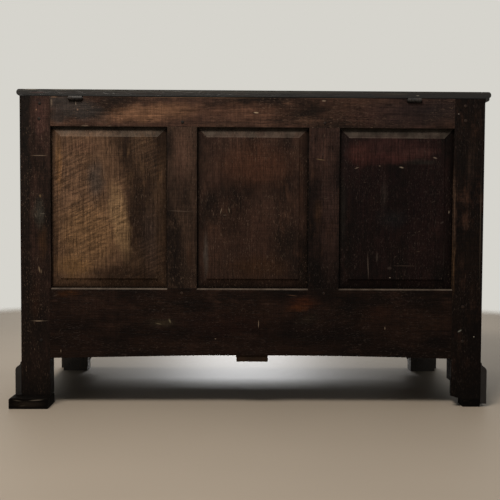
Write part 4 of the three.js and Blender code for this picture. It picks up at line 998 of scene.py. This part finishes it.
# %% Finish the lid
LID_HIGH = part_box("lid")[1]
LID_REACH, EDGE_DEPTH = 3.0, 0.014
LID_SEAMS, LID_SEAM_LENGTH, LID_SEAM_WIDTH = (-0.120, 0.085), 0.67, 0.0011
SEAM_DEPTH = 0.3


def on_lid_edge(x, z, wide, tall, colour, strength=0.6, soft=0.7):
    """A mark on the lid's back edge: its middle and half sizes in metres."""
    return Mark((x, LID_HIGH.y, z), (wide, EDGE_DEPTH, tall), colour, strength, soft)


def seam(y, z, length, width):
    """The dark line between two boards that lie side by side, by its half sizes."""
    return Mark((0, y, z), (length, width, SEAM_DEPTH), SOOT_AND_SHADE, 0.9, 0.4)


EDGE_SCARS_AND_SHADOW = [
    on_lid_edge(0, LID_HIGH.z, LID_REACH, 0.300, "#0d0c0b", 0.92, 0.3),
    on_lid_edge(0, 0.8970, LID_REACH, 0.0030, "#24231f", 0.5, 0.6),
    on_lid_edge(0.1, 0.8945, 0.7, 0.0026, "#35332d", 0.5, 0.9),
    on_lid_edge(-0.62, 0.8900, 0.30, 0.0100, "#0c0b09", 0.7, 0.8),
    # Painted shadow: a black line along the lid's lower edge, where it meets the rail
    on_lid_edge(0, 0.8835, LID_REACH, 0.0034, "#060504", 0.92, 0.5),
    on_lid_edge(0.60, 0.8905, 0.030, 0.0030, "#3a2a28", 0.7),
    on_lid_edge(-0.47, 0.8885, 0.006, 0.0014, "#8a8478", 0.6),
    on_lid_edge(-0.41, 0.8925, 0.050, 0.0022, "#3b372d", 0.5),
    on_lid_edge(0.62, 0.8990, 0.030, 0.0012, "#8a8478", 0.7),
    on_lid_edge(0.53, 0.8990, 0.050, 0.0010, "#8a8478", 0.6),
    on_lid_edge(0.41, 0.8988, 0.040, 0.0010, "#7a7468", 0.5),
    on_lid_edge(-0.35, 0.8900, 0.140, 0.0010, "#070504", 0.7),
    *[seam(y, LID_HIGH.z, LID_SEAM_LENGTH, LID_SEAM_WIDTH) for y in LID_SEAMS],
]
finish("lid", oak("lid", LID_TOP, "X", "Z", "crown", scars_and_shadows=EDGE_SCARS_AND_SHADOW))
print("marks on the lid:", len(EDGE_SCARS_AND_SHADOW))

# %% [markdown]
# Linings and runners
#
# The floor, the drawers' sides, backs and bottoms, and the runners were never waxed. They are the
# same oak with paler numbers, which is simpler than a second wood and keeps the grain alike. The floor
# is three boards side by side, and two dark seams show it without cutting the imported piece.

# %% Finish the linings
LININGS = {"chest_floor": ("X", "Z")}
for drawer in ("left_drawer", "right_drawer"):
    LININGS[drawer + "_left_side"] = ("Y", "X")
    LININGS[drawer + "_right_side"] = ("Y", "X")
    LININGS[drawer + "_back"] = ("X", "Y")
    LININGS[drawer + "_bottom"] = ("Y", "Z")
FLOOR_SEAMS, FLOOR_HIGH, FLOOR_SEAM_LENGTH, FLOOR_SEAM_WIDTH = (-0.105, 0.065), 0.34, 2.0, 0.0012
floor_scars = [seam(y, FLOOR_HIGH, FLOOR_SEAM_LENGTH, FLOOR_SEAM_WIDTH) for y in FLOOR_SEAMS]
for name, (along, depth) in LININGS.items():
    finish(name, oak(name, DRY_LINING, along, depth, scars_and_shadows=floor_scars if name == "chest_floor" else ()))
RUNNERS = ("left_drawer_runner", "centre_drawer_runner", "right_drawer_runner")
for name in RUNNERS:
    finish(name, oak(name, SOOTY_RUNNER, "Y", "Z"))
print("linings:", len(LININGS), "runners:", len(RUNNERS))

# %% [markdown]
# Iron and brass
#
# The hinges and the lock are wrought iron: grey-black, hammered, with brown rust that is
# no longer metal. The handles are cast brass, worn bright on what the hand touches and tarnished brown
# in the hollows. Hammer marks could be modelled, but they are shallower than a hair, so a bump is
# enough, and one noise decides both the colour and the dullness, as rust and tarnish do.

# %% Wrought iron
# Sizes of the patterns in millimetres
RUST_PATCH, IRON_PIT, HAMMER_MARK = 14.3, 1.67, 9.1
IRON_SKIN, RUST = "#1f1d1c", "#1c130d"
HAMMER_RELIEF = 0.0008


def wrought_iron():
    """Forged iron, hammered flat, with a dark skin and brown rust."""
    material = blank_material("wrought_iron")
    tree = material.node_tree
    place = add(tree, "TexCoord").outputs["Object"]
    cloud = add(tree, "TexNoise", {
        "Vector": place, "Scale": METRES_TO_MM / RUST_PATCH, "Detail": 6.0, "Roughness": 0.7})
    rust = add(tree, "MapRange", {0: cloud, 1: 0.44, 2: 0.62}, **SMOOTH)
    pits = add(tree, "TexNoise", {"Vector": place, "Scale": METRES_TO_MM / IRON_PIT, "Detail": 2.0})
    colour = add(tree, "Mix", {FACTOR: rust, UNDER: linear(IRON_SKIN), OVER: linear(RUST)},
                 data_type="RGBA")
    metal = add(tree, "MapRange", {0: rust, 3: 0.7, 4: 0.0})
    dull = add(tree, "MapRange", {0: rust, 3: 0.42, 4: 0.85})
    hammer = add(tree, "TexVoronoi", {"Vector": place, "Scale": METRES_TO_MM / HAMMER_MARK},
                 feature="SMOOTH_F1")
    height = add(tree, "Math", {0: hammer.outputs["Distance"], 1: pits}, operation="ADD")
    bump = add(tree, "Bump", {"Height": height, "Strength": 0.4, "Distance": HAMMER_RELIEF})
    shader = add(tree, "BsdfPrincipled", {
        "Base Color": colour, "Metallic": metal, "Roughness": dull, "Normal": bump})
    add(tree, "OutputMaterial", {"Surface": shader})
    return material


iron = wrought_iron()
iron_pieces = [name for name in nodes if "hinge" in name or "lock_" in name]
for name in iron_pieces:
    finish(name, iron)
print("iron:", iron_pieces)

# %% Cast brass
TARNISH_PATCH, CASTING_GRAIN = 16.7, 1.11
BRASS_YELLOW, TARNISH = "#94733d", "#463319"
CASTING_RELIEF = 0.0003


def cast_brass():
    """Cast brass, filed and worn, with brown tarnish in clouds."""
    material = blank_material("cast_brass")
    tree = material.node_tree
    place = add(tree, "TexCoord").outputs["Object"]
    cloud = add(tree, "TexNoise", {
        "Vector": place, "Scale": METRES_TO_MM / TARNISH_PATCH, "Detail": 5.0, "Roughness": 0.65})
    tarnish = add(tree, "MapRange", {0: cloud, 1: 0.42, 2: 0.66}, **SMOOTH)
    colour = add(tree, "Mix", {FACTOR: tarnish, UNDER: linear(BRASS_YELLOW), OVER: linear(TARNISH)},
                 data_type="RGBA")
    dull = add(tree, "MapRange", {0: tarnish, 3: 0.34, 4: 0.6})
    grain = add(tree, "TexNoise", {"Vector": place, "Scale": METRES_TO_MM / CASTING_GRAIN, "Detail": 2.0})
    bump = add(tree, "Bump", {"Height": grain, "Strength": 0.15, "Distance": CASTING_RELIEF})
    shader = add(tree, "BsdfPrincipled", {
        "Base Color": colour, "Metallic": 1.0, "Roughness": dull, "Normal": bump})
    add(tree, "OutputMaterial", {"Surface": shader})
    return material


brass = cast_brass()
brass_pieces = [name for name in nodes if "bail" in name or "plate" in name]
for name in brass_pieces:
    finish(name, brass)
print("brass:", brass_pieces)

# %% [markdown]
# Pegs and nails
#
# Each mortise and tenon is locked by oak pegs driven through it, and their heads stand a little
# proud where the boards have shrunk. Clout nails with domed heads hold the hinges and the lock.
# Pegs and nails were made by hand, so no two have quite the same size or place. A peg starts as a
# cylinder with few sides, as a knife leaves it, and a nail as a flattened sphere. The heads of one wall,
# or of one leaf of a hinge, are joined into one piece, because nobody would take them apart.

# %% Heads of pegs and nails
ACROSS = {"X": (0, math.pi / 2, 0), "Y": (math.pi / 2, 0, 0), "Z": (0, 0, 0)}
Head = namedtuple("Head", "radius stand sides dome")
PEG_HEAD = Head(0.0046, 0.0009, 9, False)
CLOUT_HEAD = Head(0.0048, 0.0016, 12, True)
LOCK_HEAD = Head(0.0032, 0.0012, 12, True)
DOME_RINGS = 8
HAND_MADE, SIZE_SPREAD = 0.0012, (0.88, 1.12)


def add_head(head, place, axis, chance):
    """One head on a face that is square to the axis."""
    radius = head.radius * chance.uniform(*SIZE_SPREAD)
    bpy.ops.object.select_all(action="DESELECT")
    if head.dome:
        bpy.ops.mesh.primitive_uv_sphere_add(
            segments=head.sides, ring_count=DOME_RINGS, radius=radius, location=place,
            rotation=ACROSS[axis], scale=(1, 1, head.stand / radius))
    else:
        bpy.ops.mesh.primitive_cylinder_add(
            vertices=head.sides, radius=radius, depth=2 * head.stand, location=place, rotation=ACROSS[axis])
    return bpy.context.object


print("a peg is", 2 * PEG_HEAD.radius * METRES_TO_MM, "mm across")

# %% A row of heads
HEAD_CREASE = math.radians(50)


def drive(name, body, material, head, places, axis):
    """A row of heads as one piece that moves with its body."""
    chance = random.Random(name)
    heads = []
    for place in places:
        moved = Vector(place) + Vector([chance.uniform(-HAND_MADE, HAND_MADE) for _ in range(3)])
        moved["XYZ".index(axis)] = place["XYZ".index(axis)]
        heads.append(add_head(head, moved, axis, chance))
    for part in heads:
        part.select_set(True)
    bpy.context.view_layer.objects.active = heads[0]
    bpy.ops.object.join()
    bpy.ops.object.transform_apply(location=True, rotation=True, scale=True)
    piece = bpy.context.object
    piece.name = name
    if not head.dome:
        soften = piece.modifiers.new("soften", "BEVEL")
        soften.width = head.stand / 2
        soften.segments = 2
        bpy.ops.object.modifier_apply(modifier=soften.name)
    bpy.ops.object.shade_smooth_by_angle(angle=HEAD_CREASE)
    piece.data.materials.append(material)
    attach(piece, body)
    print(name, "has", len(heads), "heads")


# %% End grain of the pegs
PEG_PATCH, PEG_PORE = 25.0, 1.43
PEG_BLACK, PEG_BROWN = "#100b08", "#291c14"
PORE_RELIEF = 0.0004


def end_grain():
    """The end of a riven oak peg: dark with wax, with pale specks of worn end grain."""
    material = blank_material("oak_end_grain")
    tree = material.node_tree
    place = add(tree, "TexCoord").outputs["Object"]
    cloud = add(tree, "TexNoise", {"Vector": place, "Scale": METRES_TO_MM / PEG_PATCH, "Detail": 3.0})
    each = add(tree, "MapRange", {0: cloud, 1: 0.38, 2: 0.62}, **SMOOTH)
    colour = add(tree, "Mix", {FACTOR: each, UNDER: linear(PEG_BLACK), OVER: linear(PEG_BROWN)},
                 data_type="RGBA")
    pores = add(tree, "TexNoise", {"Vector": place, "Scale": METRES_TO_MM / PEG_PORE, "Detail": 3.0})
    speck = add(tree, "MapRange", {0: pores, 1: 0.4, 2: 0.66, 3: 0.6, 4: 1.6})
    colour = add(tree, "VectorMath", {0: colour, "Scale": speck}, operation="SCALE")
    bump = add(tree, "Bump", {"Height": pores, "Strength": 0.5, "Distance": PORE_RELIEF})
    shader = add(tree, "BsdfPrincipled", {
        "Base Color": colour, "Roughness": 0.62, "Specular IOR Level": 0.15, "Normal": bump})
    add(tree, "OutputMaterial", {"Surface": shader})
    return material


peg_wood = end_grain()
print("peg finish:", peg_wood.name)

# %% Where the pegs go
PEG_INSET, PEG_SPREAD, TENON_PEG = 0.030, 0.25, 0.014
TALL_RAIL = 0.07
Wall = namedtuple("Wall", "face axis rails posts muntins")
WALLS = {
    "back": Wall("back_top_rail", "Y", ("back_top_rail", "back_bottom_rail"),
                 ("left_rear_stile", "right_rear_stile"), ("back_left_muntin", "back_right_muntin")),
    "front": Wall("front_top_rail", "Y", ("front_top_rail", "front_middle_rail", "front_bottom_rail"),
                  ("left_front_stile", "right_front_stile"), ("front_left_muntin", "front_right_muntin")),
    "left": Wall("left_side_top_rail", "X", ("left_side_top_rail", "left_side_bottom_rail"),
                 ("left_front_stile", "left_rear_stile"), ()),
    "right": Wall("right_side_top_rail", "X", ("right_side_top_rail", "right_side_bottom_rail"),
                  ("right_front_stile", "right_rear_stile"), ()),
}


def peg_places(wall):
    """Where a wall's pegs go: in the stiles beside each rail, and in the rails at each muntin's end."""
    axis = "XY".index(wall.axis)
    other = 1 - axis
    low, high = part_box(wall.face)
    face = high[axis] if high[axis] + low[axis] > 0 else low[axis]
    joints = [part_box(wall.posts[0])[1][other] - PEG_INSET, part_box(wall.posts[1])[0][other] + PEG_INSET]
    spots = []
    for rail in wall.rails:
        low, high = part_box(rail)
        height = high.z - low.z
        shares = (-PEG_SPREAD, PEG_SPREAD) if height > TALL_RAIL else (0,)
        spots += [(along, (low.z + high.z) / 2 + share * height) for along in joints for share in shares]
    for muntin in wall.muntins:
        low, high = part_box(muntin)
        spots += [((low.x + high.x) / 2, z) for z in (low.z + TENON_PEG, high.z - TENON_PEG)]
    places = []
    for along, z in spots:
        place = [along, along, z]
        place[axis] = face
        places.append(tuple(place))
    return places


for side, wall in WALLS.items():
    drive(side + "_wall_pegs", "case", peg_wood, PEG_HEAD, peg_places(wall), wall.axis)

# %% Nails in the hinges and the lock
STRAP_NAILS = (0.14, 0.38, 0.62, 0.84)
TAIL_NAILS = (0.25, 0.55)
NAIL_SWAY = 0.007
STRAP_THICKNESS = 0.0035
LOCK_INSET = 0.008
for side in ("left", "right"):
    low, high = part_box(side + "_hinge_strap")
    middle = (low.x + high.x) / 2
    places = [(middle + NAIL_SWAY * (-1) ** i, high.y + share * (low.y - high.y), high.z - STRAP_THICKNESS)
              for i, share in enumerate(STRAP_NAILS)]
    drive(side + "_strap_nails", "lid", iron, CLOUT_HEAD, places, "Z")
    low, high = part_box(side + "_hinge_tail")
    places = [(middle + sway * NAIL_SWAY, low.y, low.z + share * (high.z - low.z))
              for share in TAIL_NAILS for sway in (-1, 1)]
    drive(side + "_tail_nails", "case", iron, CLOUT_HEAD, places, "Y")
places = [(x, LOCK_HIGH.y, z) for x in (LOCK_LOW.x + LOCK_INSET, LOCK_HIGH.x - LOCK_INSET)
          for z in (LOCK_LOW.z + LOCK_INSET, LOCK_HIGH.z - LOCK_INSET)]
drive("lock_nails", "case", iron, LOCK_HEAD, places, "Y")

# %% [markdown]
# The keyhole plate
#
# A small oval plate of brass keeps the key from scratching the front, and two round-headed pins hold
# it. Its hole has a round bow above a straight slot. The plate could be drawn as one outline and
# extruded. It is made here as a smith makes it: a disc is cut from sheet, the bow and the slot are cut
# through it, and its rim is filed round. The black painted behind it is painted shade, standing for the
# dark inside of the open lock.

# %% Discs and cuts
PLATE_RADIUS, PLATE_TALLER, PLATE_THICK = 0.014, 1.35, 0.0014
BOW_RADIUS, BIT_WIDTH, BIT_DROP = 0.0029, 0.0026, 0.0105
CUT_DEPTH = 6 * PLATE_THICK
DISC_SIDES = 40
key_x, show_face, key_z = KEY_PLACE


def disc(radius, depth, taller, x, z):
    """An upright oval disc on the front, centred at x and z."""
    bpy.ops.object.select_all(action="DESELECT")
    bpy.ops.mesh.primitive_cylinder_add(
        vertices=DISC_SIDES, radius=radius, depth=depth, scale=(1, taller, 1), location=(x, show_face, z),
        rotation=ACROSS["Y"])
    bpy.ops.object.transform_apply(location=True, rotation=True, scale=True)
    return bpy.context.object


def cut_away(piece, cutter):
    """Cuts the cutter's shape out of the piece and deletes the cutter."""
    hole = piece.modifiers.new("hole", "BOOLEAN")
    hole.object = cutter
    bpy.ops.object.select_all(action="DESELECT")
    piece.select_set(True)
    bpy.context.view_layer.objects.active = piece
    bpy.ops.object.modifier_apply(modifier=hole.name)
    bpy.data.objects.remove(cutter)


plate = disc(PLATE_RADIUS, 2 * PLATE_THICK, PLATE_TALLER, key_x, key_z)
plate.name = "keyhole_plate"
cut_away(plate, disc(BOW_RADIUS, CUT_DEPTH, 1, key_x, key_z + BOW_RADIUS))
bpy.ops.object.select_all(action="DESELECT")
bpy.ops.mesh.primitive_cube_add(size=1, location=(key_x, show_face, key_z + BOW_RADIUS - BIT_DROP / 2),
                                scale=(BIT_WIDTH, CUT_DEPTH, BIT_DROP))
bpy.ops.object.transform_apply(location=True, rotation=True, scale=True)
cut_away(plate, bpy.context.object)
print("plate with its keyhole:", len(plate.data.polygons), "faces")

# %% Rim and pins of the keyhole plate
RIM_SEGMENTS, RIM_CREASE = 3, math.radians(40)
PLATE_PIN, PIN_RISE = Head(0.0013, 0.0012, 12, True), 0.0155
rim = plate.modifiers.new("rim", "BEVEL")
rim.width = PLATE_THICK / 3
rim.segments = RIM_SEGMENTS
rim.limit_method = "ANGLE"
bpy.ops.object.modifier_apply(modifier=rim.name)
bpy.ops.object.shade_smooth_by_angle(angle=RIM_CREASE)
plate.data.materials.append(brass)
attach(plate, "case")
pin_places = [(key_x, show_face - PLATE_THICK, key_z + up) for up in (-PIN_RISE, PIN_RISE)]
drive("keyhole_plate_pins", "case", brass, PLATE_PIN, pin_places, "Y")
print("keyhole plate at", round(key_x, 3), round(key_z, 3))

# %% [markdown]
# Eased edges
#
# No edge on an old chest is sharp. Each board could be modelled again with round edges, but then it
# could drift from its real size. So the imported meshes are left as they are, and modifiers merge
# their triangles into faces and round every real edge a little.

# %% Ease the edges of the wood
WOOD_EASE, LINING_EASE = 0.0016, 0.0008
MERGE_REACH = 0.00001
FLAT_ANGLE, EDGE_ANGLE = math.radians(1), math.radians(40)
EASE_SEGMENTS = 2


def ease_edges(piece, width):
    """Live modifiers that join the triangles and round the edges of a packed board."""
    weld = piece.modifiers.new("merge_corners", "WELD")
    weld.merge_threshold = MERGE_REACH
    flat = piece.modifiers.new("join_triangles", "DECIMATE")
    flat.decimate_type = "DISSOLVE"
    flat.angle_limit = FLAT_ANGLE
    ease = piece.modifiers.new("ease_edges", "BEVEL")
    ease.width = width
    ease.segments = EASE_SEGMENTS
    ease.limit_method = "ANGLE"
    ease.angle_limit = EDGE_ANGLE


for name in [*BACK_BOARDS, *SHOW_BOARDS, *SHOW_PANELS, "lid"]:
    ease_edges(nodes[name], WOOD_EASE)
for name in [*LININGS, *RUNNERS]:
    ease_edges(nodes[name], LINING_EASE)
print("edges eased by", WOOD_EASE * METRES_TO_MM, "and", LINING_EASE * METRES_TO_MM, "mm")

# %% [markdown]
# Sizes
#
# The box of the dressed chest is printed. The dressed chest must stay inside the box of the
# imported one.

# %% Sizes and finish
low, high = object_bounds()
print("visual size in metres:", [round(side, 4) for side in high - low])
